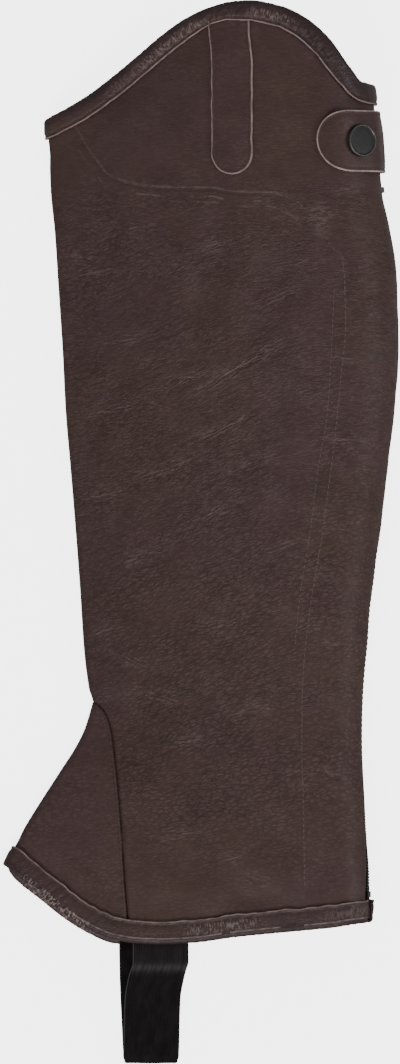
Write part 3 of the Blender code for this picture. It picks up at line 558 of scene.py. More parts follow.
@dataclass
class Workshop:
    """Turns meshes into finished pieces of the half chap."""

    body: str = "chap"

    def piece(
        self,
        name: str,
        bm: bmesh.types.BMesh,
        finishes: Sequence[bpy.types.Material],
        slot: Slot,
        stands_for: Sequence[str] = (),
        sharp: float = 50.0,
    ) -> bpy.types.Object:
        """Link a mesh as a piece, and free the bmesh.

        Args:
            name: the piece's name.
            bm: its mesh, in metres.
            finishes: its materials, in the order of the faces' indices.
            slot: a material slot; not used.
            stands_for: the solids that it replaces.
            sharp: the angle in degrees past which an edge is sharp.

        Returns:
            the piece.
        """
        mesh = bpy.data.meshes.new(name)
        bm.to_mesh(mesh)
        bm.free()
        mesh.shade_smooth()
        mesh.set_sharp_from_angle(angle=radians(sharp))
        for finish in finishes:
            mesh.materials.append(finish)
        obj = bpy.data.objects.new(name, mesh)
        bpy.context.scene.collection.objects.link(obj)
        if stands_for:
            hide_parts(*stands_for)
        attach(obj, self.body)
        log.info("%s: %d faces", name, len(mesh.polygons))
        return obj

    @staticmethod
    def shell(
        outside: Floats,
        inside: Floats,
        cut: Floats,
        dropped: int | None = None,
        raw_rows: Sequence[int] = (),
        lining: int = 2,
        rim: int = 1,
        marks: Floats | None = None,
    ) -> bmesh.types.BMesh:
        """Make a thin wall between two grids of points.

        Args:
            outside: the outer face's points, by column and row.
            inside: the inner face's points.
            cut: where each point lies on the flat cut, in millimetres.
            dropped: the column of cells that is left out.
            raw_rows: the rows of cells that take the second material.
            lining: the material index of the inner face.
            rim: the material index of the cut edges.
            marks: three numbers for each point that its finish draws by.

        Returns:
            the wall, with its faces turned outwards.
        """
        columns, rows = outside.shape[0] - 1, outside.shape[1] - 1
        bm = bmesh.new()
        bmesh.ops.create_grid(bm, x_segments=columns, y_segments=rows, size=0.5)
        across = bm.verts.layers.int.new("column")
        up = bm.verts.layers.int.new("row")
        for vert in bm.verts:
            vert[across] = round((vert.co.x + 0.5) * columns)
            vert[up] = round((vert.co.y + 0.5) * rows)
        gone = []
        for face in bm.faces:
            middle = face.calc_center_median()
            face.material_index = int(int((middle.y + 0.5) * rows) in raw_rows)
            if int((middle.x + 0.5) * columns) == dropped:
                gone.append(face)
        bmesh.ops.delete(bm, geom=gone, context="FACES")
        for vert in bm.verts:
            vert.co = Vector(outside[vert[across], vert[up]]) * MM
        bmesh.ops.remove_doubles(bm, verts=bm.verts, dist=2e-6)
        made = bmesh.ops.extrude_face_region(bm, geom=list(bm.faces), use_keep_orig=True)["geom"]
        inner_verts = {item for item in made if isinstance(item, bmesh.types.BMVert)}
        inner_faces = {item for item in made if isinstance(item, bmesh.types.BMFace)}
        for vert in inner_verts:
            vert.co = Vector(inside[vert[across], vert[up]]) * MM
        for face in bm.faces:
            own = [vert in inner_verts for vert in face.verts]
            if face in inner_faces:
                face.material_index = lining
            elif any(own) and not all(own):
                face.material_index = rim
        bmesh.ops.recalc_face_normals(bm, faces=bm.faces)
        if bm.calc_volume(signed=True) < 0:
            bmesh.ops.reverse_faces(bm, faces=bm.faces)
        for name, values in (("cut", cut), ("marks", marks)):
            if values is not None:
                layer = bm.verts.layers.float_vector.new(name)
                for vert in bm.verts:
                    vert[layer] = Vector((*values[vert[across], vert[up]], 0.0)[:3])
        for name in ("column", "row"):
            bm.verts.layers.int.remove(bm.verts.layers.int[name])
        return bm

    @staticmethod
    def turned(profile: Sequence[tuple[float, float]], steps: int) -> bmesh.types.BMesh:
        """Turn a round piece about Z.

        Args:
            profile: rows of radius and height, from the underside's centre to the top's.
            steps: how many facets go round.

        Returns:
            the closed shape.
        """
        bm = bmesh.new()
        verts = [bm.verts.new((radius * MM, 0.0, height * MM)) for radius, height in profile]
        edges = [bm.edges.new(pair) for pair in zip(verts, verts[1:])]
        bmesh.ops.spin(
            bm, geom=verts + edges, cent=(0, 0, 0), axis=(0, 0, 1),
            angle=2 * pi, steps=steps, use_merge=True,
        )
        bmesh.ops.remove_doubles(bm, verts=bm.verts, dist=1e-6)
        bmesh.ops.recalc_face_normals(bm, faces=bm.faces)
        return bm

    @staticmethod
    def copies(pattern: bmesh.types.BMesh, places: Sequence[Matrix]) -> bmesh.types.BMesh:
        """Make one mesh of many copies of a small shape.

        Args:
            pattern: the shape at the origin, which is freed.
            places: where each copy stands.

        Returns:
            the copies together.
        """
        mesh = bpy.data.meshes.new("pattern")
        pattern.to_mesh(mesh)
        pattern.free()
        bm = bmesh.new()
        for place in places:
            mesh.transform(place)
            bm.from_mesh(mesh)
            mesh.transform(place.inverted())
        bpy.data.meshes.remove(mesh)
        return bm


def frame_at(origin: Floats, outward: Floats, upward: Floats) -> Matrix:
    """Make a frame with Z outward and Y as near upward as it can be.

    Args:
        origin: its origin in millimetres.
        outward: the direction of Z.
        upward: the rough direction of Y.

    Returns:
        the frame, in metres.
    """
    z = Vector(outward).normalized()
    y = Vector(upward)
    y = (y - z * y.dot(z)).normalized()
    made = Matrix((y.cross(z), y, z)).transposed().to_4x4()
    made.translation = Vector(origin) * MM
    return made


def sized(sides: Sequence[float]) -> Matrix:
    """A matrix that gives a shape of unit size its sides in millimetres."""
    return Matrix.Diagonal((*(side * MM for side in sides), 1.0))


# Sewing

@dataclass
class Sewing:
    """Rows of thread, each stitch a slim bead that sinks in at its ends."""

    pitch: float = 3.1
    stitch: float = 2.35
    radius: float = 0.26
    sink: float = 0.02
    stray: float = 0.12
    places: list[Matrix] = field(default_factory=list)

    def row(self, points: Floats, outward: Floats, seed: int = 1) -> None:
        """Sew along a line.

        Args:
            points: the line, in millimetres.
            outward: the direction away from the leather at each point.
            seed: the row's own small unevenness.
        """
        run = length_along(points)
        count = int(run[-1] / self.pitch)
        draw = np.random.default_rng(seed)
        middles = (np.arange(count) + 0.5) * run[-1] / max(count, 1)

        def read(values: Floats, at: float) -> Floats:
            """A value on the line at a distance along it."""
            return np.array([np.interp(at, run, values[:, i]) for i in range(3)])

        for middle in middles + draw.uniform(-self.stray, self.stray, count):
            start, end = (read(points, middle + way * self.stitch / 2) for way in (-1, 1))
            away = read(outward, middle)
            self.places.append(frame_at(read(points, middle) - away * self.sink, away, end - start))

    def sewn(self) -> bmesh.types.BMesh:
        """Make the stitches.

        Returns:
            all the rows as one mesh.
        """
        bead = bmesh.new()
        bmesh.ops.create_uvsphere(bead, u_segments=6, v_segments=5, radius=1.0)
        size = sized((self.radius, self.stitch / 2, self.radius))
        upright = Matrix.Rotation(pi / 2, 4, "X")
        bmesh.ops.transform(bead, matrix=size @ upright, verts=bead.verts)
        return Workshop.copies(bead, self.places)


# Creases

@dataclass(frozen=True)
class Crease:
    """A soft trough with a low ridge beside it."""

    across: float
    along: float
    reach: float
    turn: float
    width: float
    depth: float
    bow: float = 0.0

    def line(self, x: Floats, y: Floats) -> tuple[Floats, Floats]:
        """Measure places against the crease's line.

        Args:
            x: how far across the places are.
            y: how far along.

        Returns:
            how far off the line they lie, and how strong it is there.
        """
        turn = radians(self.turn)
        run = (x - self.across) * cos(turn) + (y - self.along) * sin(turn)
        off = (y - self.along) * cos(turn) - (x - self.across) * sin(turn)
        share = np.clip(np.abs(run) / (self.reach / 2), 0, 1)
        return off - self.bow * (1 - share**2), (1 - share**2) ** 2

    def height(self, x: Floats, y: Floats) -> Floats:
        """Find how much the crease lifts the leather.

        Args:
            x: how far across.
            y: how far along.

        Returns:
            the lift at each place, in millimetres.
        """
        off, fade = self.line(x, y)
        ridge = 0.6 * hump(off - 1.9 * self.width, 1.2 * self.width)
        return fade * self.depth * (ridge - hump(off, self.width))


# Each side's creases as the photograph shows them, and more like them below and
# on the inner side: across, along, length, turn in degrees, width, depth, bow
OUTER_CREASES: tuple[Crease, ...] = tuple(Crease(*row) for row in (
    (22.0, 86.5, 78.0, 30.0, 2.2, 0.75, 1.5), (15.0, 58.0, 62.0, 26.0, 2.0, 0.62, -1.5),
    (-9.0, 79.5, 52.0, 15.0, 2.4, 0.45, 1.0), (-45.0, 65.0, 36.0, 12.0, 1.8, 0.60, 1.0),
    (-25.0, 68.0, 30.0, -14.0, 1.9, 0.45, 0.5), (-55.0, 137.5, 36.0, 15.0, 2.0, 0.50, 1.2),
    (-60.0, 146.0, 26.0, -6.0, 1.8, 0.40, 0.6), (43.0, 124.0, 36.0, 26.0, 2.2, 0.45),
    (58.0, 141.0, 22.0, 14.0, 2.0, 0.32, 0.5), (-38.0, 104.0, 44.0, 8.0, 3.0, 0.40, -1.5),
    (28.0, 36.0, 40.0, 22.0, 2.2, 0.42, 1.0), (-20.0, 34.0, 46.0, 20.0, 2.6, 0.48, -1.0),
    (-48.0, 20.0, 30.0, 10.0, 2.0, 0.42, 0.8), (8.0, 8.0, 48.0, 27.0, 2.4, 0.50, 1.5),
    (42.0, -8.0, 34.0, 18.0, 2.0, 0.40, -0.8), (-30.0, -14.0, 42.0, 16.0, 2.6, 0.45, 1.2),
    (-50.0, -52.0, 22.0, 23.0, 1.6, 0.50, 0.6), (-36.0, -68.0, 34.0, -24.0, 2.4, 0.42),
    (-22.0, -88.0, 40.0, -16.0, 2.8, 0.45, 1.5), (14.0, -46.0, 46.0, 12.0, 2.8, 0.38, -1.2),
    (-8.0, -112.0, 44.0, 6.0, 3.0, 0.38, 1.0), (26.0, -96.0, 38.0, 9.0, 2.4, 0.36, 0.8),
    (30.0, -184.0, 24.0, -18.0, 1.8, 0.35, 0.4), (22.0, -172.0, 30.0, 16.0, 2.0, 0.34, 0.4),
    (-14.0, -160.0, 36.0, 4.0, 3.0, 0.32, -0.8), (72.0, 48.0, 26.0, 4.0, 2.2, 0.32, 0.6),
    (78.0, 92.0, 24.0, -5.0, 2.4, 0.34), (70.0, -60.0, 24.0, 3.0, 2.2, 0.30, 0.5),
    (68.0, -128.0, 26.0, -4.0, 2.4, 0.30, -0.5), (-52.5, 206.0, 20.0, -52.0, 1.3, 0.40),
    (-55.5, 203.0, 16.0, -38.0, 1.2, 0.38), (-60.5, 200.5, 15.0, -26.0, 1.2, 0.36),
    (-66.0, 198.0, 14.0, -12.0, 1.2, 0.30), (44.0, 168.0, 30.0, -20.0, 2.0, 0.34),
    (10.0, 150.0, 46.0, 12.0, 2.8, 0.36, 1.4), (-26.0, 162.0, 40.0, 6.0, 2.6, 0.34, 0.8),
    (80.0, 182.0, 20.0, 10.0, 1.8, 0.34),
))
INNER_CREASES: tuple[Crease, ...] = tuple(Crease(*row) for row in (
    (10.0, 120.0, 70.0, -24.0, 2.6, 0.60, 1.0), (-20.0, 70.0, 60.0, 14.0, 2.4, 0.55, -1.5),
    (30.0, 40.0, 52.0, -18.0, 2.2, 0.50, 1.0), (-40.0, 150.0, 40.0, 8.0, 2.2, 0.48, 0.5),
    (-44.0, 10.0, 36.0, 12.0, 2.0, 0.50, 0.5), (0.0, -20.0, 64.0, 20.0, 2.8, 0.55, 1.5),
    (40.0, -70.0, 40.0, -12.0, 2.2, 0.45, -0.8), (-36.0, -74.0, 34.0, 26.0, 2.0, 0.48),
    (-10.0, -110.0, 54.0, -8.0, 3.0, 0.42, 1.0), (20.0, -160.0, 48.0, 10.0, 2.4, 0.40, -1.0),
    (30.0, 200.0, 50.0, 30.0, 2.4, 0.45), (-30.0, 210.0, 36.0, 40.0, 2.0, 0.40),
    (50.0, 160.0, 44.0, -6.0, 2.6, 0.45, 0.8),
))
INSTEP_CREASES: tuple[Crease, ...] = tuple(Crease(*row) for row in (
    (-64.0, -118.0, 26.0, 4.0, 2.2, 0.30, 0.5), (-70.0, -134.0, 40.0, -6.0, 3.0, 0.32, 1.0),
    (-78.0, -154.0, 44.0, -12.0, 3.4, 0.30, -1.0), (-62.0, -176.0, 36.0, -30.0, 3.0, 0.30, 0.8),
    (-92.0, -170.0, 24.0, -36.0, 2.4, 0.26),
))

# The reinforcement's outline and its two rows down the back: across, along
REINFORCEMENT: Rows = (
    (-64.0, 211.5), (-59.0, 203.5), (-53.0, 195.3), (-48.8, 190.3), (-41.0, 186.6),
    (-30.5, 183.9), (-19.3, 182.9), (-6.0, 182.4), (6.1, 182.3), (14.0, 180.9),
    (22.0, 180.0), (38.4, 179.4), (46.4, 177.4), (56.0, 171.0), (64.0, 161.0),
    (70.5, 150.0), (75.0, 147.3),
)
RIGHT_ROW: Rows = (
    (75.0, 147.3), (76.6, 134.6), (77.1, 107.6), (75.0, 84.8), (71.8, 51.9),
    (68.6, 26.5), (64.9, -1.6), (61.2, -22.8), (57.5, -48.8), (55.4, -69.0),
    (54.3, -95.9), (54.3, -123.0), (54.9, -136.7), (55.4, -166.4), (55.8, -190.0),
)
LEFT_ROW: Rows = (
    (71.3, 129.9), (68.1, 68.9), (62.3, 30.2), (58.6, 0.5), (53.3, -32.3), (50.6, -59.4),
)


# Finishes

class Value:
    """A number, colour or vector on a surface; sums on numbers add Math nodes."""

    def __init__(self, graph: "Graph", socket: bpy.types.NodeSocket) -> None:
        """Wrap one output socket."""
        self.graph = graph
        self.socket = socket

    def _sum(self, operation: str, first: "Value | float", second: "Value | float") -> "Value":
        """One Math node."""
        return self.graph.read("ShaderNodeMath", {"operation": operation}, {0: first, 1: second})

    def __add__(self, other: "Value | float") -> "Value":
        """self + other."""
        return self._sum("ADD", self, other)

    def __radd__(self, other: float) -> "Value":
        """other + self."""
        return self._sum("ADD", other, self)

    def __sub__(self, other: "Value | float") -> "Value":
        """self - other."""
        return self._sum("SUBTRACT", self, other)

    def __rsub__(self, other: float) -> "Value":
        """other - self."""
        return self._sum("SUBTRACT", other, self)

    def __mul__(self, other: "Value | float") -> "Value":
        """self * other."""
        return self._sum("MULTIPLY", self, other)

    def __rmul__(self, other: float) -> "Value":
        """other * self."""
        return self._sum("MULTIPLY", other, self)

    def __truediv__(self, other: "Value | float") -> "Value":
        """self / other."""
        return self._sum("DIVIDE", self, other)

    def __pow__(self, other: float) -> "Value":
        """self to a power."""
        return self._sum("POWER", self, other)

    def distance_from(self, middle: float) -> "Value":
        """How far the number is from a middle value."""
        return self._sum("ABSOLUTE", self - middle, 0.0)

    def wave(self, size: float) -> "Value":
        """A sine of this number, from 0 to 1, with one wave to each size."""
        return self._sum("SINE", self * (2 * pi / size), 0.0) * 0.5 + 0.5


Settings = dict[str, object]
Inputs = dict[str | int, object]


class Graph:
    """The nodes of one finish or of the world."""

    def __init__(self, tree: bpy.types.NodeTree) -> None:
        """Start from an empty tree."""
        self.tree = tree
        tree.nodes.clear()

    def node(self, kind: str, settings: Settings, inputs: Inputs) -> bpy.types.Node:
        """Add a node.

        Args:
            kind: the node's type.
            settings: its own settings, which are set first.
            inputs: values or links for its sockets, by name or index.

        Returns:
            the node.
        """
        made = self.tree.nodes.new(kind)
        for key, value in settings.items():
            setattr(made, key, value)
        for key, value in inputs.items():
            if isinstance(value, Value):
                self.tree.links.new(value.socket, made.inputs[key])
            else:
                made.inputs[key].default_value = value
        return made

    def read(self, kind: str, settings: Settings, inputs: Inputs, output: str | int = 0) -> Value:
        """Add a node for one of its outputs."""
        return Value(self, self.node(kind, settings, inputs).outputs[output])

    def place(self) -> Value:
        """The place on the piece, in millimetres."""
        return self.scaled(self.read("ShaderNodeTexCoord", {}, {}, "Object"), (1000.0, 1000.0, 1000.0))

    def carried(self, name: str) -> Value:
        """A vector that the piece carries at each point."""
        return self.read("ShaderNodeAttribute", {"attribute_name": name}, {}, "Vector")

    def cut(self) -> Value:
        """The place on the flat cut, in millimetres."""
        return self.carried("cut")

    def marks(self) -> tuple[Value, Value, Value]:
        """The three numbers that a piece carries for its finish."""
        spot = self.carried("marks")
        return self.axis(spot, "X"), self.axis(spot, "Y"), self.axis(spot, "Z")

    def scaled(self, spot: Value, factors: Colour) -> Value:
        """A place with its axes stretched or squeezed."""
        return self.read("ShaderNodeVectorMath", {"operation": "MULTIPLY"}, {0: spot, 1: factors})

    def shifted(self, spot: Value, shift: Value | Colour) -> Value:
        """A place moved by a vector."""
        return self.read("ShaderNodeVectorMath", {"operation": "ADD"}, {0: spot, 1: shift})

    def turned(self, spot: Value, degrees: float) -> Value:
        """A place turned about Z."""
        inputs = {"Vector": spot, "Angle": radians(degrees)}
        return self.read("ShaderNodeVectorRotate", {"rotation_type": "Z_AXIS"}, inputs)

    def axis(self, spot: Value, name: str) -> Value:
        """One coordinate of a place."""
        return self.read("ShaderNodeSeparateXYZ", {}, {0: spot}, name)

    def joined(self, x: Value | float, y: Value | float, z: Value | float) -> Value:
        """A place from its three coordinates."""
        return self.read("ShaderNodeCombineXYZ", {}, {0: x, 1: y, 2: z})

    def noise(self, spot: Value, size: float, detail: float = 2.0, rough: float = 0.5) -> Value:
        """Even noise from 0 to 1 with lumps of a size in millimetres."""
        inputs = {"Vector": spot, "Scale": 1.0 / size, "Detail": detail, "Roughness": rough}
        return self.read("ShaderNodeTexNoise", {}, inputs)

    def waver(self, spot: Value, size: float, reach: float) -> Value:
        """Push a place about by noise.

        Args:
            spot: the place.
            size: the noise's size in millimetres.
            reach: how far it pushes.

        Returns:
            the place, moved.
        """
        noise = self.read("ShaderNodeTexNoise", {}, {"Vector": spot, "Scale": 1.0 / size, "Detail": 1.0}, 1)
        centred = self.shifted(noise, (-0.5, -0.5, -0.5))
        return self.shifted(spot, self.scaled(centred, (2 * reach, 2 * reach, 2 * reach)))

    def cells(self, spot: Value, size: float, feature: str = "F1") -> Value:
        """The distance to the middle or edge of pebble-like cells of a size."""
        return self.read("ShaderNodeTexVoronoi", {"feature": feature}, {"Vector": spot, "Scale": 1.0 / size})

    def eased(self, number: Value, low: float, high: float, start: float = 0.0, end: float = 1.0) -> Value:
        """A number eased from start at low to end at high."""
        inputs = {0: number, 1: low, 2: high, 3: start, 4: end}
        return self.read("ShaderNodeMapRange", {"interpolation_type": "SMOOTHSTEP"}, inputs)

    def ramped(self, number: Value, low: float, high: float) -> Value:
        """A number run straight from 0 at low to 1 at high."""
        return self.read("ShaderNodeMapRange", {}, {0: number, 1: low, 2: high})

    def mixed(self, share: Value | float, first: Value | Colour, second: Value | Colour) -> Value:
        """A colour between two."""
        full = [(*c, 1.0) if isinstance(c, tuple) else c for c in (first, second)]
        return self.read("ShaderNodeMix", {"data_type": "RGBA"}, {0: share, 6: full[0], 7: full[1]}, 2)

    def relief(self, height: Value) -> Value:
        """A normal from a height in millimetres."""
        return self.read("ShaderNodeBump", {}, {"Height": height, "Distance": MM, "Strength": 1.0}, "Normal")


class FinishGraph(Graph):
    """The graph of one finish's material."""

    def __init__(self, name: str) -> None:
        """Make an empty material.

        Args:
            name: the material's name.
        """
        self.material = bpy.data.materials.new(name)
        self.material.use_nodes = True
        super().__init__(self.material.node_tree)

    def closed(
        self, colour: Value | Colour, roughness: Value | float, normal: Value | None = None,
        metallic: float = 0.0, **fixed: float | tuple[float, ...],
    ) -> bpy.types.Material:
        """Join everything in one surface.

        Args:
            colour: the base colour.
            roughness: the roughness.
            normal: the normal, where the finish has relief.
            metallic: 1 for a metal.
            fixed: settings of other sockets, with _ for a space.

        Returns:
            the material.
        """
        inputs: Inputs = {
            "Base Color": (*colour, 1.0) if isinstance(colour, tuple) else colour,
            "Roughness": roughness, "Metallic": metallic,
        }
        if normal is not None:
            inputs["Normal"] = normal
        inputs.update({key.replace("_", " "): number for key, number in fixed.items()})
        surface = self.read("ShaderNodeBsdfPrincipled", {}, inputs, "BSDF")
        self.node("ShaderNodeOutputMaterial", {}, {"Surface": surface})
        return self.material


@dataclass(frozen=True)
class Hide:
    """Pebbled brown leather with short wrinkles that run across the leg, its tone painted darker in their
    hollows and lighter on their crests.
    """

    name: str
    plum: Colour = (0.0705, 0.0385, 0.0375)
    olive: Colour = (0.0715, 0.0403, 0.0330)
    # worn: the colour of rubbed wear, and of the painted highlights on crests, veins and crease lines
    worn: Colour = (0.125, 0.084, 0.078)
    # pale: the colour of pale flecks, and on the binding of its painted glints and highlight lines
    pale: Colour = (0.335, 0.255, 0.240)
    size: float = 1.5
    low_size: float = 1.85
    pebble_depth: float = 0.11
    wrinkle_depth: float = 0.46
    contrast: float = 1.0
    roughness: float = 0.55
    shine: float = 0.28
    panel: bool = False
    # painted light on the binding: shade on its roll, glints and highlight lines, and pale flecks
    painted_light_and_flecks: bool = False
    scuff_at: tuple[float, float] = (63.5, 166.0)
    scuff_reach: float = 8.0

    def grain(self, g: FinishGraph, spot: Value, x: Value, y: Value) -> Value:
        """Find the place in the grain's own frame, in which a pebble has unit size.

        Args:
            g: the material's graph.
            spot: the place on the piece.
            x: its X.
            y: its Y.

        Returns:
            the place, with wrinkles along X that rise over the middle of the leg.
        """
        rise = g.eased(x, -100.0, 84.0, -28.0, 16.0)
        rise = rise * g.eased(y, 200.0, 95.0, 0.15, 1.0) * g.eased(y, -200.0, -70.0, 0.3, 1.0)
        loose = g.waver(spot, 8.0, 1.5)
        low = g.eased(y, 95.0, -60.0)
        long = low * (0.44 / self.low_size - 0.32 / self.size) + 0.32 / self.size
        tall = low * (1.0 / self.low_size - 1.0 / self.size) + 1.0 / self.size
        across, along, up = (g.axis(loose, name) for name in "XYZ")
        return g.joined(across * long, (along - rise) * tall, up * long)

    def drawn(self, g: FinishGraph, spot: Value, x: Value) -> tuple[Value, Value]:
        """Draw what the panel's marks say: bundles of thin creases and the sewn outline, as relief and as
        painted highlights and shade.

        Args:
            g: the material's graph.
            spot: the place on the piece.
            x: its X.

        Returns:
            the height they add in millimetres, and the painted highlights and shade they add to the tone.
        """

        def broken(size: float, detail: float, low: float, high: float, least: float = 0.0) -> Value:
            """What is left of a line where noise breaks it."""
            return g.eased(g.noise(spot, size, detail), low, high, least, 1.0)

        def line(number: Value, middle: float, half: float) -> Value:
            """A soft line where a number has a middle value."""
            return g.eased(number.distance_from(middle), half, 0.0)

        outline, off, power = g.marks()
        off = off + (g.noise(spot, 7.0, 2.0) - 0.5) * 3.2
        fine = g.noise(g.joined(x * 0.055, off * 0.52, 0.0), 1.0, 1.0)
        ridge = line(fine, 0.5, 0.05) * power
        trough = line(fine, 0.59, 0.05) * power
        main = line(off, -0.3, 0.55) * power * broken(12.0, 1.0, 0.35, 0.50)
        sewn = g.eased(outline.distance_from(0.3), 0.9, 0.1) * broken(6.0, 2.0, 0.38, 0.58, 0.25)
        sewn = sewn + line(outline, -4.6, 0.8) * broken(7.0, 1.0, 0.45, 0.62) * 0.9
        sewn = sewn + line(outline, -7.4, 0.8) * broken(9.0, 1.0, 0.50, 0.64) * 0.6
        under = line(outline, -1.4, 1.1)
        shown = g.eased(x, 48.0, 36.0, 0.12, 1.0) * g.eased(x, -62.0, -34.0, 0.35, 1.0)
        height = ridge * 0.13 - trough * 0.09 + main * 0.12 + (sewn * 0.12 - under * 0.08) * shown
        # Painted light in the tone: highlights on the crease ridges, main lines and the raised sewn outline;
        # shade in the troughs and just below the outline's step.
        tone_and_painted_light = ridge * 0.62 - trough * 0.16 + main * 0.62 + (sewn * 0.66 - under * 0.14) * shown
        return height, tone_and_painted_light

    def scuffed(self, g: FinishGraph, grain: Value, x: Value, y: Value) -> Value:
        """Rub one spot of the panel.

        Args:
            g: the material's graph.
            grain: the place in the grain's frame.
            x: the place's X.
            y: its Y.

        Returns:
            how strongly it is rubbed.
        """
        across, along = self.scuff_at
        off = ((x - across) / self.scuff_reach) ** 2.0 + ((y - along) / (1.5 * self.scuff_reach)) ** 2.0
        rubbed = g.eased(g.noise(g.turned(grain, 20.0), 0.9, 3.0, 0.65), 0.42, 0.60)
        return g.eased(off, 1.0, 0.1) * rubbed * 0.85

    def made(self) -> bpy.types.Material:
        """Build the material.

        Returns:
            the material.
        """
        g = FinishGraph(self.name)
        spot = g.place()
        x, y = g.axis(spot, "X"), g.axis(spot, "Y")
        grain = self.grain(g, spot, x, y)
        lively = g.eased(g.noise(g.scaled(spot, (0.6, 1.0, 0.6)), 22.0, 2.0), 0.34, 0.60, 0.62, 1.0)
        if self.panel:
            lively = lively * g.eased(y, 190.0, 172.0, 0.50, 1.0) * g.eased(y, -205.0, -140.0, 0.45, 1.0)
        pebble = g.eased(g.cells(grain, 1.0, "DISTANCE_TO_EDGE"), 0.0, 0.26)
        wrinkle = g.noise(g.scaled(grain, (0.75, 0.75, 0.75)), 1.0, 2.0, 0.62)
        vein = g.eased(wrinkle.distance_from(0.52), 0.050, 0.0) - 0.25
        height = lively * (pebble * self.pebble_depth + (wrinkle - 0.5) * self.wrinkle_depth)
        height = height + g.noise(spot, 0.7, 2.0, 0.6) * 0.035
        # Painted shade and light: the tone is darker along the pebbles' edges and the wrinkles' hollows, and
        # lighter on their crests and along the thin veins.
        tone_and_painted_light = lively * (
            (pebble - 0.75) * g.eased(y, 100.0, -30.0, 0.16, 0.32) + (wrinkle - 0.5) * 0.36
            + vein * g.eased(y, -60.0, 60.0, 0.22, 0.34)
        )
        shade = g.eased(g.noise(spot, 17.0, 3.0, 0.6), 0.30, 0.70, -0.07, 0.07)
        tone_and_painted_light = tone_and_painted_light * self.contrast + shade
        olive = g.eased(g.noise(g.shifted(spot, (40.0, 11.0, 0.0)), 60.0, 3.0, 0.55), 0.40, 0.62)
        pale_marks_and_highlights = g.eased(g.cells(spot, 24.0), 0.028, 0.012) * g.eased(g.noise(spot, 30.0), 0.50, 0.60) * 0.5
        if self.panel:
            # The panel's marks add relief and painted light to the tone.
            stands, drawn = self.drawn(g, spot, x)
            height, tone_and_painted_light = height + stands, tone_and_painted_light + drawn
            pale_marks_and_highlights = pale_marks_and_highlights + self.scuffed(g, grain, x, y)
        if self.painted_light_and_flecks:
            painted_shade, glint, line = g.marks()
            # Painted shade from the binding's marks: on its roll and over the shaded stretches.
            tone_and_painted_light = tone_and_painted_light - painted_shade * 0.40
            # Painted glints: pale specks in short strokes along the strip.
            strokes = g.noise(g.scaled(g.cut(), (1.0, 0.38, 1.0)), 1.15, 2.0, 0.6)
            glint_speck = g.eased(strokes, 0.47, 0.60) * glint
            uneven = g.eased(g.noise(spot, 3.0, 2.0), 0.35, 0.60, 0.4, 1.0)
            # Painted highlight line near the roll, broken by noise.
            line = g.eased(line.distance_from(0.0), 0.65, 0.15) * uneven
            pale_marks_and_highlights = pale_marks_and_highlights + glint_speck * 0.8 + line * 0.55
            height = height + glint_speck * 0.16 + line * 0.10
        colour = g.mixed(olive, self.plum, self.olive)
        # Painted shade where the tone is low, toward half the plum, and painted highlights where it is high,
        # toward the worn colour.
        colour = g.mixed(g.ramped(tone_and_painted_light, 0.0, -0.5), colour, tuple(0.5 * c for c in self.plum))
        colour = g.mixed(g.ramped(tone_and_painted_light, 0.0, 0.6), colour, self.worn)
        # Pale marks: real flecks and the scuff, with the painted glints and highlight lines on the binding.
        colour = g.mixed(pale_marks_and_highlights, colour, self.pale if self.painted_light_and_flecks else self.worn)
        rough = g.eased(g.noise(spot, 7.0, 2.0), 0.3, 0.7, self.roughness - 0.05, self.roughness + 0.07)
        return g.closed(colour, rough, g.relief(height), Specular_IOR_Level=self.shine)


@dataclass(frozen=True)
class CutEdge:
    """A pale raw edge of leather, fibrous and dry."""

    name: str = "raw_edge"
    pale: Colour = (0.335, 0.235, 0.218)
    brown: Colour = (0.150, 0.098, 0.090)

    def made(self) -> bpy.types.Material:
        """Build the material.

        Returns:
            the material.
        """
        g = FinishGraph(self.name)
        spot = g.place()
        fibre = g.noise(spot, 0.5, 3.0, 0.65)
        stain = g.eased(g.noise(spot, 5.0, 2.0), 0.38, 0.66)
        colour = g.mixed(stain * 0.55, self.pale, self.brown)
        return g.closed(colour, 0.9, g.relief(fibre * 0.12), Specular_IOR_Level=0.2)


@dataclass(frozen=True)
class Flesh:
    """The leather's napped inner face."""

    name: str = "flesh_side"
    brown: Colour = (0.092, 0.062, 0.050)
    dark: Colour = (0.055, 0.036, 0.030)

    def made(self) -> bpy.types.Material:
        """Build the material.

        Returns:
            the material.
        """
        g = FinishGraph(self.name)
        spot = g.place()
        nap = g.noise(spot, 0.4, 3.0, 0.7)
        brushed = g.noise(g.scaled(spot, (1.0, 0.3, 1.0)), 4.0, 3.0, 0.6)
        colour = g.mixed(g.eased(brushed, 0.35, 0.65), self.brown, self.dark)
        height = nap * 0.12 + brushed * 0.1
        return g.closed(colour, 0.95, g.relief(height), Specular_IOR_Level=0.15, Sheen_Weight=0.2)


@dataclass(frozen=True)
class Thread:
    """Twisted, waxed thread."""

    name: str
    colour: Colour

    def made(self) -> bpy.types.Material:
        """Build the material.

        Returns:
            the material.
        """
        g = FinishGraph(self.name)
        twist = g.noise(g.scaled(g.turned(g.place(), 40.0), (1.0, 0.25, 1.0)), 0.22, 1.0)
        dull = tuple(0.65 * c for c in self.colour)
        colour = g.mixed(g.eased(twist, 0.35, 0.65), self.colour, dull)
        return g.closed(colour, 0.62, g.relief(twist * 0.05))


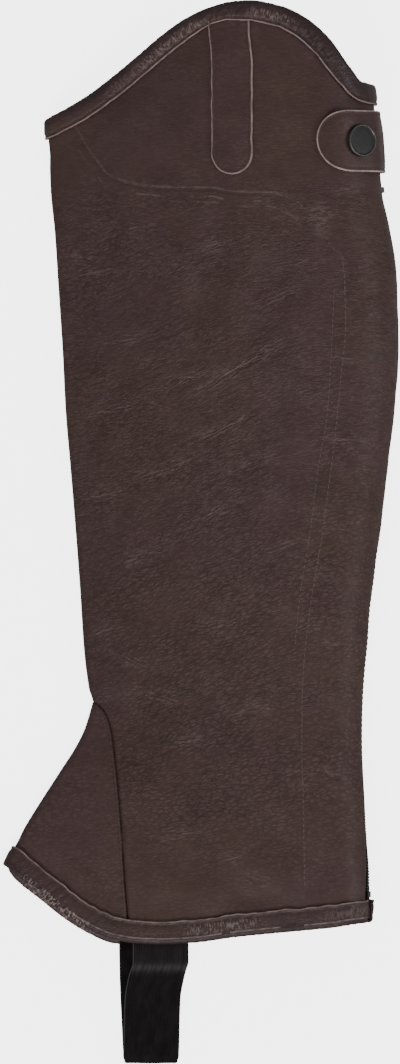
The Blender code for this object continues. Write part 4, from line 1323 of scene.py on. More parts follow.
@dataclass(frozen=True)
class Elastic:
    """Ribbed woven elastic: ribs along it, with the rubber's fine cross weave, and painted light on its ribs,
    fold, left edge and above the fold.
    """

    name: str = "ribbed_elastic"
    black: Colour = (0.0074, 0.0058, 0.0062)
    grey: Colour = (0.036, 0.0315, 0.0325)
    # lint: the pale colour of the painted highlights on the fold and the left edge
    lint: Colour = (0.075, 0.070, 0.072)
    rib: float = 1.24
    weave: float = 0.62

    def made(self) -> bpy.types.Material:
        """Build the material.

        Returns:
            the material.
        """
        g = FinishGraph(self.name)
        cut = g.cut()
        across, along = g.axis(cut, "X"), g.axis(cut, "Y")
        wobble = (g.noise(cut, 14.0, 2.0) - 0.5) * 0.5
        ribs = (across + wobble).wave(self.rib)
        weave = (along + ribs * 0.3).wave(self.weave)
        lint = g.eased(g.noise(cut, 1.3, 3.0, 0.7), 0.62, 0.78)
        stretch = g.noise(g.scaled(cut, (1.0, 0.08, 1.0)), 1.6, 2.0)
        fold, above, _ = g.marks()
        patch = g.eased(g.noise(g.scaled(cut, (1.0, 0.4, 1.0)), 4.5, 3.0, 0.6), 0.35, 0.70)
        # Painted highlights on the ribs and weave, with real lint specks and stretch streaks.
        lit = g.eased(ribs * 0.6 + weave * 0.4, 0.35, 1.0) * 0.20
        lit = lit + lint * 0.45 + g.eased(stretch, 0.5, 0.8) * 0.2
        # Painted light: the strap above the fold is painted lighter than the shaded stretch below it, and the
        # fold's crease mark paints a highlight.
        colour = g.mixed(lit * (0.5 + above * 0.9) + patch * 0.22 + above * 0.18, self.black, self.grey)
        colour = g.mixed(fold * g.eased(stretch, 0.3, 0.6, 0.4, 1.0) * 0.55, colour, self.lint)
        # Painted highlight along the left edge.
        colour = g.mixed(g.eased(across, -14.1, -14.6) * 0.8, colour, self.lint)
        height = ribs * 0.12 + weave * 0.07 + stretch * 0.05
        return g.closed(colour, 0.9, g.relief(height), Specular_IOR_Level=0.12)


@dataclass(frozen=True)
class Tape:
    """Herringbone zip tape."""

    name: str = "woven_tape"
    black: Colour = (0.0100, 0.0092, 0.0096)
    grey: Colour = (0.024, 0.022, 0.023)

    def made(self) -> bpy.types.Material:
        """Build the material.

        Returns:
            the material.
        """
        g = FinishGraph(self.name)
        cut = g.cut()
        sway = g.axis(cut, "X").wave(4.2)
        rows = (g.axis(cut, "Y") + sway * 1.6).wave(0.7)
        colour = g.mixed(rows * 0.4, self.black, self.grey)
        return g.closed(colour, 0.88, g.relief(rows * 0.12), Specular_IOR_Level=0.25)


@dataclass(frozen=True)
class Moulded:
    """Black moulded plastic, a little dusty."""

    name: str = "moulded_teeth"
    black: Colour = (0.013, 0.012, 0.013)
    dusty: Colour = (0.030, 0.026, 0.025)

    def made(self) -> bpy.types.Material:
        """Build the material.

        Returns:
            the material.
        """
        g = FinishGraph(self.name)
        spot = g.place()
        grain = g.noise(spot, 0.35, 2.0)
        dust = g.eased(g.noise(spot, 6.0, 3.0, 0.6), 0.45, 0.75)
        colour = g.mixed(dust * 0.4, self.black, self.dusty)
        return g.closed(colour, g.eased(dust, 0.0, 1.0, 0.36, 0.55), g.relief(grain * 0.03))


@dataclass(frozen=True)
class Gunmetal:
    """Dark plated metal, brushed and a little worn."""

    name: str
    dark: Colour = (0.050, 0.048, 0.049)
    bright: Colour = (0.30, 0.29, 0.29)
    roughness: float = 0.42
    worn: float = 0.25

    def made(self) -> bpy.types.Material:
        """Build the material.

        Returns:
            the material.
        """
        g = FinishGraph(self.name)
        spot = g.place()
        brush = g.noise(g.scaled(spot, (0.25, 2.4, 1.0)), 0.8, 3.0, 0.6)
        rubbed = g.eased(g.noise(spot, 2.2, 3.0, 0.65), 0.52, 0.74)
        colour = g.mixed(rubbed * self.worn, self.dark, self.bright)
        rough = g.eased(brush, 0.25, 0.75, self.roughness - 0.06, self.roughness + 0.08)
        return g.closed(colour, rough, g.relief(brush * 0.012), metallic=1.0)


class Finishes:
    """Every finish of the half chap, made once."""

    def __init__(self) -> None:
        """Build the materials."""
        self.leg = Hide("pebbled_leather", panel=True).made()
        # The instep's plum and olive are lighter than the leg's: painted light for the stronger light on the
        # instep's slope.
        self.instep = Hide(
            "instep_leather", plum=(0.0765, 0.0420, 0.0410), olive=(0.0765, 0.0430, 0.0360),
            pebble_depth=0.05, wrinkle_depth=0.34, contrast=0.75, roughness=0.57,
        ).made()
        self.binding = Hide(
            "binding_leather", plum=(0.0720, 0.0390, 0.0380), olive=(0.0720, 0.0400, 0.0345),
            size=1.2, low_size=1.2, pebble_depth=0.06, wrinkle_depth=0.36, contrast=0.6,
            roughness=0.44, shine=0.34, painted_light_and_flecks=True,
        ).made()
        self.strap = Hide(
            "strap_leather", plum=(0.0715, 0.0385, 0.0375), olive=(0.0700, 0.0390, 0.0340),
            pebble_depth=0.04, wrinkle_depth=0.26, contrast=0.6, roughness=0.50,
        ).made()
        self.raw = CutEdge().made()
        self.tab_raw = CutEdge("tab_edge", (0.46, 0.345, 0.325), (0.21, 0.145, 0.135)).made()
        self.worn_raw = CutEdge("worn_edge", (0.265, 0.185, 0.172), (0.085, 0.055, 0.051)).made()
        self.dyed = CutEdge("dyed_edge", (0.060, 0.037, 0.034), (0.044, 0.027, 0.025)).made()
        self.flesh = Flesh().made()
        self.thread = Thread("brown_thread", (0.145, 0.102, 0.094)).made()
        self.dark_thread = Thread("dark_thread", (0.040, 0.026, 0.024)).made()
        self.elastic = Elastic().made()
        self.tape = Tape().made()
        self.teeth = Moulded().made()
        self.metal = Gunmetal("gunmetal").made()
        self.cap = Gunmetal("cap_face", (0.052, 0.053, 0.052), (0.090, 0.090, 0.088), 0.60, 0.5).made()
        self.rim = Gunmetal("cap_rim", (0.10, 0.098, 0.096), (0.22, 0.215, 0.21), 0.42, 0.5).made()


@dataclass
class Part:
    """A sub-assembly: the form it lies on, and what makes and dresses its pieces."""

    form: LegForm
    shop: Workshop
    finishes: Finishes


# The leg

@dataclass
class Leg(Part):
    """The leg's one panel of leather, from the zip's one edge round to the other."""

    outer_columns: int = 100
    inner_columns: int = 40
    fold_columns: int = 8
    edge_rows: int = 18
    lower_rows: int = 46
    upper_rows: int = 176
    crease_share: float = 0.55
    crease_reach: float = 6.0
    thinnest: float = 1.5
    swell_height: float = 0.55
    ripple_height: float = 0.16
    inner_swell: float = 0.35
    inner_ripple: float = 0.10
    inner_drop: float = 0.15
    zip_share: float = 0.35
    step_height: float = 0.30
    step_line: float = 0.16
    step_groove: float = 0.14
    seam_roll: float = 0.35
    seam_groove: float = 0.45
    turned_under: float = 0.4
    fold_share: float = 0.035
    outer_fold_share: float = 0.03
    beside_zip: float = 2.6
    beside_seam: float = 2.4
    cut_size: tuple[float, float] = (0.400, 0.480)
    cut_area: float = 0.160

    def __post_init__(self) -> None:
        """Read the reinforcement's outline."""
        self.outline = column_of(REINFORCEMENT, 0, 1)
        self.right = column_of(RIGHT_ROW, 1, 0)
        self.swell = [Unevenness(seed, (58.0, 83.0, 41.0)) for seed in (3, 4)]
        self.ripple = [Unevenness(seed, (17.0, 23.0, 31.0)) for seed in (5, 6)]

    def relief(self, girth: Floats, along: Floats) -> Floats:
        """Raise and sink the leather from its plain form.

        Args:
            girth: the way round.
            along: the Y of each place.

        Returns:
            the lift at each place, in millimetres.
        """
        girth, x, on_inner = self.form.spot(girth, along)
        outer, inner = (
            self.crease_share * sum(crease.height(x, along) for crease in creases)
            for creases in (OUTER_CREASES, INNER_CREASES)
        )
        swell = self.swell[0](x + 0.4 * along) * self.swell[1](along - 0.3 * x)
        ripple = self.ripple[0](along + 0.15 * x) * self.ripple[1](x + 0.6 * along)
        outer = outer + self.swell_height * swell + self.ripple_height * ripple + self.step(x, along)
        inner = inner + self.inner_swell * swell + self.inner_ripple * ripple - self.inner_drop
        inner = np.minimum(inner, 0.0)
        lift = (outer * (1 - on_inner) + inner * on_inner) * self.form.flattened(girth, along)
        from_zip = np.abs(girth - self.form.zip_girth(along))
        return lift * (self.zip_share + (1 - self.zip_share) * ease(from_zip, 6.0, 22.0))

    def step(self, x: Floats, along: Floats) -> Floats:
        """Raise the leather over the reinforcement, with a soft step at its outline.

        Args:
            x: the X of each place.
            along: its Y.

        Returns:
            the lift at each place.
        """
        over, past = along - self.outline(x), x - self.right(along)
        above = ease(over, -1.6, 1.6) * ease(x, -70.0, -58.0)
        line = hump(over, 1.2) * ease(x, -66.0, -60.0) * ease(x, 77.0, 72.0)
        beside = ease(past, -1.6, 1.6) * ease(along, 160.0, 146.0)
        groove = hump(past, 1.1) * ease(along, 150.0, 142.0) * ease(along, -192.0, -186.0)
        raised = self.step_height * (0.5 * above + 0.4 * beside)
        return raised + self.step_line * line - self.step_groove * groove

    def marks(self, girth: Floats, along: Floats) -> Floats:
        """Say what the finish draws crisply on the panel.

        Args:
            girth: the way round.
            along: the Y of each place.

        Returns:
            the distance from the reinforcement's outline, the offset from the
            nearest crease and that crease's strength.
        """
        _, x, share = self.form.spot(girth, along)
        on_inner = share > 0.5
        above = (along - self.outline(x)) / np.sqrt(1 + self.outline.steepness(x) ** 2)
        edge = np.where(along < 146.0, np.maximum(above, x - self.right(along)), above)
        faded = edge + 9.0 * np.sign(edge) * ease(along, -180.0, -196.0)
        edge = np.where(on_inner, -9.0, np.clip(faded, -9.0, 9.0))
        off, power, second = 12.0 + 0.0 * x, 0.0 * x, 0.0 * x
        for creases, there in ((OUTER_CREASES, ~on_inner), (INNER_CREASES, on_inner)):
            for crease in creases:
                if crease.width < self.thinnest:
                    continue
                away, fade = crease.line(x, along)
                pull = 2 * fade * crease.depth * ease(np.abs(away), self.crease_reach, 0.6) * there
                nearer = pull > power
                second = np.where(nearer, power, np.maximum(second, pull))
                power = np.where(nearer, pull, power)
                off = np.where(nearer, away, off)
        return np.stack([edge, np.clip(off, -12.0, 12.0), np.maximum(power - 1.5 * second, 0.0)], -1)

    def rows(self, girths: Girths, share: Floats) -> Floats:
        """Space the rows of each column, hem first.

        Args:
            girths: a column's girth from its share and its Y.
            share: the columns' shares.

        Returns:
            an array of Ys, by column and row.
        """
        form = self.form
        hem, top = (form.edge_along(side, girths, share)[:, None] for side in (Side.HEM, Side.TOP))
        edge = np.linspace(0, form.draw_end, self.edge_rows + 1)[None, :]
        lower = np.linspace(0, 1, self.lower_rows + 1)[None, 1:]
        upper = np.linspace(0, 1, self.upper_rows + 1)[None, :]
        low = hem + edge
        middle = low[:, -1:] + lower * (form.instep_top - low[:, -1:])
        last = top - form.draw_end
        high = form.ankle + upper * (last - form.ankle)
        return np.concatenate([low, middle, high, (last + edge)[:, 1:]], axis=1)

    @staticmethod
    def shares(middle: float, first: int, second: int) -> Floats:
        """Shares from 0 to a middle one in some even columns, and on to 1 in others."""
        return np.concatenate([np.linspace(0, middle, first + 1), np.linspace(middle, 1, second + 1)[1:]])

    def build(self) -> None:
        """Make the panel and dress it."""
        form, f = self.form, self.finishes
        sides = (
            (form.inner_column, self.shares(1 - self.fold_share, self.inner_columns, self.fold_columns)),
            (form.outer_column, self.shares(self.outer_fold_share, self.fold_columns, self.outer_columns)),
        )
        rows = [self.rows(column, share) for column, share in sides]
        girth = np.concatenate([column(share[:, None], y) for (column, share), y in zip(sides, rows)])
        along = np.concatenate(rows)
        seam = len(rows[0]) - 1
        relief = self.relief(girth, along)
        edge = self.seam_edge(girth, along)
        from_fold = np.where(np.arange(len(along))[:, None] <= seam, girth - form.length(along), girth)
        bm = self.shop.shell(
            form.skin(girth, along, relief + edge),
            form.skin(girth, along, relief - form.leather - self.turned_under * (edge > 0.02)),
            np.stack([from_fold, along], -1),
            dropped=seam,
            marks=self.marks(girth, along),
        )
        solids = ("leg_outer", "leg_inner")
        obj = self.shop.piece("leg_leather", bm, (f.leg, f.dyed, f.flesh), Slot.LEATHER, solids)

    def seam_edge(self, girth: Floats, along: Floats) -> Floats:
        """Turn the edge at the ankle seam, which stands a little proud of the panel.

        Args:
            girth: the way round.
            along: the Y of each place.

        Returns:
            the extra lift, on the outer side alone.
        """
        girth, _, on_inner = self.form.spot(girth, along)
        off = self.form.from_seam(girth, along)
        roll = self.seam_roll * hump(off - 1.7, 1.5) - self.seam_groove * hump(off, 0.55)
        return roll * ease(along, self.form.ankle - 1.0, self.form.ankle - 6.0) * (1 - on_inner)

    def sew(self) -> None:
        """Sew the reinforcement, the double row and the rows beside the zip and seam."""
        form, shown = self.form, Sewing()
        across = np.linspace(-62.0, 74.5, 90)
        long, short = np.linspace(146.0, -188.0, 160), np.linspace(129.0, -60.0, 100)
        for x, y, seed in (
            (across, self.outline(across), 11),
            (self.right(long), long, 12),
            (column_of(LEFT_ROW, 1, 0)(short), short, 13),
        ):
            self.row(shown, form.outer_girth(x, y), y, seed)
        self.shop.piece("reinforcement_thread", shown.sewn(), (self.finishes.thread,), Slot.LEATHER)

        dark = Sewing(pitch=2.9, stitch=2.2)
        y = np.linspace(-188.0, 219.0, 170)
        for way in (-1, 1):
            self.row(dark, form.zip_girth(y) + way * (form.zip_opening / 2 + self.beside_zip), y, 20 + way)
        y = np.linspace(-97.0, -199.0, 60)
        self.row(dark, form.seam_inner(y) - self.beside_seam, y, 23)
        self.shop.piece("leg_thread", dark.sewn(), (self.finishes.dark_thread,), Slot.LEATHER)

    def row(self, rows: Sewing, girth: Floats, y: Floats, seed: int) -> None:
        """Sew one row on the leather, through places given by girth and Y."""
        rows.row(self.form.skin(girth, y, self.relief(girth, y)), self.form.outward(girth, y), seed)


@dataclass
class Instep(Part):
    """The piece let into the front below the ankle and folded over the foot."""

    half_columns: int = 44
    edge_rows: int = 18
    upper_rows: int = 43
    crowding: float = 1.35
    seam_share: float = 0.3
    seam_band: float = 9.0
    dip: float = 1.7
    lap: float = 4.5
    lap_drop: float = 0.25
    lap_leather: float = 0.8
    beside_seam: float = 2.1
    cut_size: tuple[float, float] = (0.130, 0.122)
    cut_area: float = 0.0105

    def relief(self, girth: Floats, along: Floats) -> Floats:
        """Raise and sink the leather from its plain form, and dip it at the seam.

        Args:
            girth: the way round.
            along: the Y of each place.

        Returns:
            the lift at each place, in millimetres.
        """
        girth, x, share = self.form.spot(girth, along)
        lift = sum(crease.height(x, along) for crease in INSTEP_CREASES)
        lift = np.where(share > 0.5, np.minimum(lift, 0.0), lift)
        return lift * self.form.flattened(girth, along) - self.sunk(girth, along)

    def sunk(self, girth: Floats, along: Floats) -> Floats:
        """Find how far the edge dips where the leg's turned edge laps it.

        Args:
            girth: the way round.
            along: the Y of each place.

        Returns:
            the depth at each place.
        """
        form = self.form
        girth = girth % form.length(along)
        off = -form.from_seam(girth, along)
        far = (girth > form.back_at(along) * 0.9) & (girth - form.seam_inner(along) < -40)
        return ease(np.where(far, -9.0, off), self.dip, 0.2) * (form.leather + self.lap_drop)

    def girths(self, share: Floats, along: Floats) -> Floats:
        """Space the columns from the inner lap round the fold to the outer one.

        Args:
            share: -1 at the inner lap, 0 at the fold and 1 at the outer lap.
            along: the Y of each place.

        Returns:
            the girths, below 0 on the inner side.
        """
        form = self.form
        near = along - form.edge_height(Side.HEM, np.zeros_like(along), along)
        lap = 0.3 + self.lap * ease(near, 6.0, 26.0)
        below = np.minimum(along, form.ankle - 0.4)
        inner = form.length(along) - form.seam_inner(below)
        whole = np.where(share < 0, inner, form.seam_outer(below)) + lap
        band = np.minimum(self.seam_band, 0.5 * whole)
        size, rest = np.abs(share), 1 - self.seam_share
        first = (whole - band) * np.minimum(size / rest, 1.0) ** self.crowding
        return np.sign(share) * (first + band * np.maximum(size - rest, 0.0) / self.seam_share)

    def build(self) -> None:
        """Make the piece and dress it."""
        form, f = self.form, self.finishes
        steps = np.linspace(0, 1, self.half_columns + 1)
        sides = np.concatenate([-steps[::-1], steps[1:]])
        hem = form.edge_along(Side.HEM, lambda s, a: self.girths(s, a) % form.length(a), sides)
        low = hem[:, None] + np.linspace(0, form.draw_end, self.edge_rows + 1)[None, :]
        upper = np.linspace(0, 1, self.upper_rows + 1)[None, 1:]
        along = np.concatenate([low, low[:, -1:] + upper * (form.ankle - 0.5 - low[:, -1:])], axis=1)
        girth = self.girths(sides[:, None], along)
        relief = self.relief(girth, along)
        thin = ease(self.sunk(girth, along), 0.3, 1.4)
        thick = form.leather + (self.lap_leather - form.leather) * thin
        bm = self.shop.shell(
            form.skin(girth, along, relief), form.skin(girth, along, relief - thick),
            np.stack([girth, along], -1),
        )
        solids = ("instep_outer", "instep_inner")
        obj = self.shop.piece("instep_leather", bm, (f.instep, f.dyed, f.flesh), Slot.LEATHER, solids)

    def sew(self) -> None:
        """Sew the faint row on the instep beside the seam."""
        rows = Sewing(pitch=2.9, stitch=2.1, radius=0.22)
        y = np.linspace(-98.0, -202.0, 70)
        girth = self.form.seam_outer(y) - self.beside_seam
        rows.row(self.form.skin(girth, y, self.relief(girth, y)), self.form.outward(girth, y), 31)
        self.shop.piece("instep_thread", rows.sewn(), (self.finishes.dark_thread,), Slot.LEATHER)


# Bindings

@dataclass
class Binding(Part):
    """A strip folded over an end of the leg, sewn through, with raw edges."""

    side: Side
    name: str
    depth: float
    stands_for: tuple[str, ...]
    seed: int
    edge: bpy.types.Material
    outer_columns: int = 330
    inner_columns: int = 250
    leaf_rows: int = 13
    roll_rows: int = 9
    inner_rows: int = 7
    raw: float = 0.70
    skive: float = 0.42
    lip: float = 0.32
    groove_at: float = 1.9
    groove: float = 0.42
    pucker: float = 0.30
    bulge: float = 0.22
    crinkle: float = 0.10
    # windows by X where the strip puckers more and carries painted glints
    gathers_and_glints: Rows = ()
    # painted shade on the outer roll, which turns away from the light
    painted_roll_shade: float = 0.0
    # windows of painted glints, pale specks on the grain
    glints: Rows = ()
    # windows of a painted highlight line along the roll
    lines: Rows = ()
    # windows of painted shade along the strip, by X
    painted_shades: Rows = ()
    narrow: float = 0.0
    narrow_at: float = 16.0
    narrow_half: float = 13.0
    wander: float = 0.12
    fold_ease: float = 14.0
    strap_span: tuple[float, float] | None = None
    strap_lift: float = 1.5
    end_lift: float = 0.7
    cut_size: tuple[float, float] = (0.5, 0.022)

    def __post_init__(self) -> None:
        """Draw the strip's puckers and set out its centre line."""
        self.puckers = Unevenness(self.seed, (2.3, 3.1, 4.3, 6.1))
        self.strength = Unevenness(self.seed + 1, (37.0, 61.0, 23.0))
        self.stray = Unevenness(self.seed + 2, (9.0, 14.0, 22.0, 31.0))
        self._set_out()

    def _set_out(self) -> None:
        """Set out where the strip's columns meet the panel's edge, and their way in."""
        form, sign = self.form, self.side.value

        def outer(share: Floats, along: Floats) -> Floats:
            """Find girths from the fold to the zip on the outer side."""
            return share * (form.zip_girth(along) - form.zip_opening / 2)

        def inner(share: Floats, along: Floats) -> Floats:
            """Find girths from the fold to the zip on the inner side."""
            length = form.length(along)
            return length - share * (length - form.zip_girth(along) - form.zip_opening / 2)

        halves = []
        for share, girths, keep in (
            (np.linspace(1, 0, self.outer_columns + 1), outer, slice(None)),
            (np.linspace(0, 1, self.inner_columns + 1), inner, slice(1, None)),
        ):
            along = form.edge_along(self.side, girths, share)
            off = girths(share, along)
            if girths is inner:
                off = form.length(along) - off
            flat = np.stack([form.front(along) + off, along], -1)
            run = unit(np.gradient(flat, axis=0))
            into = np.stack([run[:, 1], -run[:, 0]], -1)
            into *= np.where(into[:, 1] * sign < 0, 1.0, -1.0)[:, None]
            along_fold = -sign * unit(np.stack([form.front.steepness(along), np.ones_like(along)], -1))
            away = ease(np.abs(off), 0.0, self.fold_ease)[:, None]
            into = unit(along_fold * (1 - away) + into * away)
            halves.append((flat[keep], into[keep]))
        self.flat, self.into = (np.concatenate(parts) for parts in zip(*halves))
        self.on_outer = np.arange(len(self.flat)) <= self.outer_columns
        self.run = length_along(self.flat)

    def places(self, depth: Floats) -> tuple[Floats, Floats]:
        """Find the places at depths into the panel.

        Args:
            depth: how far in from the roll, by column and row.

        Returns:
            the girths and the Ys, by column and row.
        """
        form = self.form
        x = self.flat[:, None, 0] + self.into[:, None, 0] * depth
        y = self.flat[:, None, 1] + self.into[:, None, 1] * depth
        off = np.maximum(x - form.front(y), 0.0)
        off = np.where(np.arange(len(self.flat))[:, None] == self.outer_columns, 0.0, off)
        return np.where(self.on_outer[:, None], off, form.length(y) - off), y

    def reach(self) -> Floats:
        """Find how deep each column's outer leaf goes, with the wandering raw edge."""
        narrow = self.narrow * hump(self.flat[:, 0] - self.narrow_at, self.narrow_half) * self.on_outer
        return (self.depth + self.wander * self.stray(self.run) - narrow)[:, None]

    def stand(self, depth: Floats, from_raw: Floats, x: Floats) -> Floats:
        """Find how far the outer leaf stands off its plain form.

        Args:
            depth: how far in from the roll.
            from_raw: how far from the raw edge.
            x: the X of each place.

        Returns:
            the extra lift.
        """
        along = self.run[:, None]
        power = np.clip(0.3 + 0.25 * self.strength(along), 0.1, 0.6) + self.windows(self.gathers_and_glints, x)
        window = ease(from_raw, 1.6, 3.2) * ease(depth, -0.6, 3.0)
        pucker = self.pucker * power * self.puckers(along + 0.25 * depth) * window
        pulled = 0.75 + 0.35 * self.puckers(along)
        lift = pucker - self.groove * hump(from_raw - self.groove_at, 0.75) * pulled
        lift = lift + self.lip * hump(from_raw, 1.2) * (1.0 + 0.5 * self.stray(along * 1.7))
        lift = lift + self.bulge * np.sin(pi * np.clip((from_raw - self.groove_at) / 6.0, 0, 1))
        if self.strap_span:
            low, high = self.strap_span
            over = ease(x, low - 1.4, low + 0.4) * ease(x, high + 1.4, high - 0.4)
            lift = lift + self.strap_lift * over * ease(depth, 2.2, 5.6) * self.on_outer[:, None]
        ends = np.minimum(along, self.run[-1] - along)
        return lift + self.end_lift * ease(ends, 4.5, 0.0) * ease(depth, 2.0, self.depth)

    @staticmethod
    def windows(rows: Rows, x: Floats) -> Floats:
        """Say how strongly a feature shows.

        Args:
            rows: the low X, the high X and the strength of each window.
            x: the X of each place.

        Returns:
            the strength at each place.
        """
        shown = 0.0 * x
        for low, high, strength in rows:
            soft = 0.2 * (high - low)
            shown = shown + strength * ease(x, low - soft, low + soft) * ease(x, high + soft, high - soft)
        return shown

    def marks(self, x: Floats, depth: Floats) -> Floats:
        """Say what the finish draws on the strip.

        Args:
            x: the X of each place.
            depth: how far in from the roll.

        Returns:
            how dark the painted shade makes the roll and the shaded stretches, how strongly
            the painted glints show on the grain, and how far off a painted highlight line is.
        """
        outer = self.on_outer[:, None]
        waver = 1 + 0.35 * self.strength(self.run)[:, None]
        # Painted shade: the outer roll darkened where it turns from the light, then the windows of painted
        # shade by X.
        painted_shade = self.painted_roll_shade * ease(depth, 0.42 * self.depth, 0.05 * self.depth) * waver * outer
        painted_shade = painted_shade + self.windows(self.painted_shades, x) * outer
        share = depth / self.depth
        # Painted glints: a band between roll and groove where the strip gathers, and specks near the roll
        # where glints are asked for.
        band = ease(share, 0.10, 0.32) * ease(share, 0.86, 0.6)
        near = ease(depth, 2.6, 0.8) * self.windows(self.glints, x)
        glint = np.where(outer, band * self.windows(self.gathers_and_glints, x) + near, self.windows(self.glints, x))
        # Painted highlight line, 0.9 mm in from the roll, where the lines ask for it.
        line = np.where(self.windows(self.lines, x) * outer > 0.5, depth - 0.9, 9.0)
        return np.stack([painted_shade, np.clip(glint, 0.0, 1.0), line], -1)

    def face(self, radius: float, grown: bool) -> tuple[Floats, Floats]:
        """Set out one face, from raw edge over the roll to raw edge.

        Args:
            radius: how far the face is from the panel's middle.
            grown: whether it is the outer face, whose raw edge is pared.

        Returns:
            the points, and how far in from the roll each is.
        """
        form, reach = self.form, self.reach()
        steps = np.linspace(self.raw + 0.5, self.depth - 0.2, self.leaf_rows)
        leaf = np.concatenate([[0.0, self.raw], steps])[None, :]
        rows = leaf.shape[1]
        outer_in = reach - leaf * (reach / self.depth)
        inner_in = np.linspace(0.6, self.depth, self.inner_rows)[None, :] + 0 * reach
        turns = np.linspace(pi / 2, -pi / 2, self.roll_rows)[None, :]
        crinkle = self.crinkle * self.puckers(self.run)[:, None] * ease(np.abs(turns), pi / 2, pi / 4)
        bulge = radius + crinkle * (1.0 if grown else 0.5)
        depth = np.concatenate([outer_in, form.roll_centre - bulge * np.cos(turns), inner_in], axis=1)
        lifts = np.concatenate([
            np.full_like(outer_in, radius), bulge * np.sin(turns), np.full_like(inner_in, -radius),
        ], axis=1) - form.leather / 2
        girth, y = self.places(depth)
        extra = self.stand(outer_in, leaf + 0 * reach, form.at(girth, y)[0][:, :rows])
        if grown:
            extra[:, 0] -= self.skive
        on_outer = 1 - form.inner_share(girth[:, :rows], y[:, :rows])
        extra = np.where(on_outer > 0.02, extra * on_outer, np.minimum(extra, 0.0) * (1 - on_outer))
        lifts[:, :rows] += extra
        fade = ease(np.arange(self.roll_rows)[None, :], self.roll_rows * 0.6, 0.0)
        lifts[:, rows:rows + self.roll_rows] += extra[:, -1:] * fade
        return form.skin(girth, y, lifts), depth

    def build(self) -> None:
        """Make the strip and dress it."""
        form, f = self.form, self.finishes
        outside, depth = self.face(form.roll_radius + form.binding_leather, True)
        inside, _ = self.face(form.roll_radius, False)
        girth, y = self.places(depth)
        bm = self.shop.shell(
            outside, inside, np.stack([self.run[:, None] + 0 * depth, depth], -1),
            raw_rows=(0, depth.shape[1] - 2),
            rim=3,
            marks=self.marks(form.at(girth, y)[0], depth),
        )
        finishes = (f.binding, self.edge, f.flesh, f.dyed)
        obj = self.shop.piece(self.name, bm, finishes, Slot.BINDING, self.stands_for)

    def sew(self) -> None:
        """Sew the strip down along its groove, through to the inner leaf."""
        form = self.form
        rows = Sewing(pitch=2.6, stitch=1.9, radius=0.22, sink=0.08)
        from_raw = self.groove_at + 0 * self.reach()
        depth = self.reach() - from_raw
        girth, y = self.places(depth)
        x = form.at(girth, y)[0]
        base = form.roll_radius + form.binding_leather - form.leather / 2
        share = form.inner_share(girth, y)
        extra = self.stand(depth, from_raw, x)
        lift = base + np.where(share < 0.98, extra * (1 - share), np.minimum(extra, 0.0) * share)
        points = form.skin(girth, y, lift)[:, 0]
        away = form.outward(girth, y)[:, 0]
        rows.row(points, away, self.seed + 5)
        self.shop.piece(f"{self.name}_thread", rows.sewn(), (self.finishes.dark_thread,), Slot.BINDING)


# Straps laid on the leg

@dataclass
class RoundStrap:
    """The cut of a strap with one round end, as rows that follow its outline."""

    half: float
    straight: float
    side_steps: int = 64
    round_steps: int = 40
    insets: tuple[float, ...] = (0.0, 0.7, 1.3, 1.9, 2.5, 3.4, 4.8, 6.6, 8.6)

    def grid(self) -> tuple[Floats, Floats, Floats]:
        """Places across and along the strap, and how far in from its edge.

        Returns:
            across, along from the round end's centre, and the inset.
        """
        insets = np.array([inset for inset in self.insets if inset < self.half - 0.8] + [self.half])
        left = self.half - insets
        run = np.linspace(self.straight, 0, self.side_steps + 1)[:-1]
        turn = np.linspace(pi, 2 * pi, self.round_steps + 1)
        across = np.concatenate([
            -left[None, :] + 0 * run[:, None], left[None, :] * np.cos(turn)[:, None],
            left[None, :] + 0 * run[:, None],
        ])
        along = np.concatenate([
            run[:, None] + 0 * left[None, :], left[None, :] * np.sin(turn)[:, None],
            run[::-1, None] + 0 * left[None, :],
        ])
        return across, along, insets[None, :] + 0 * across


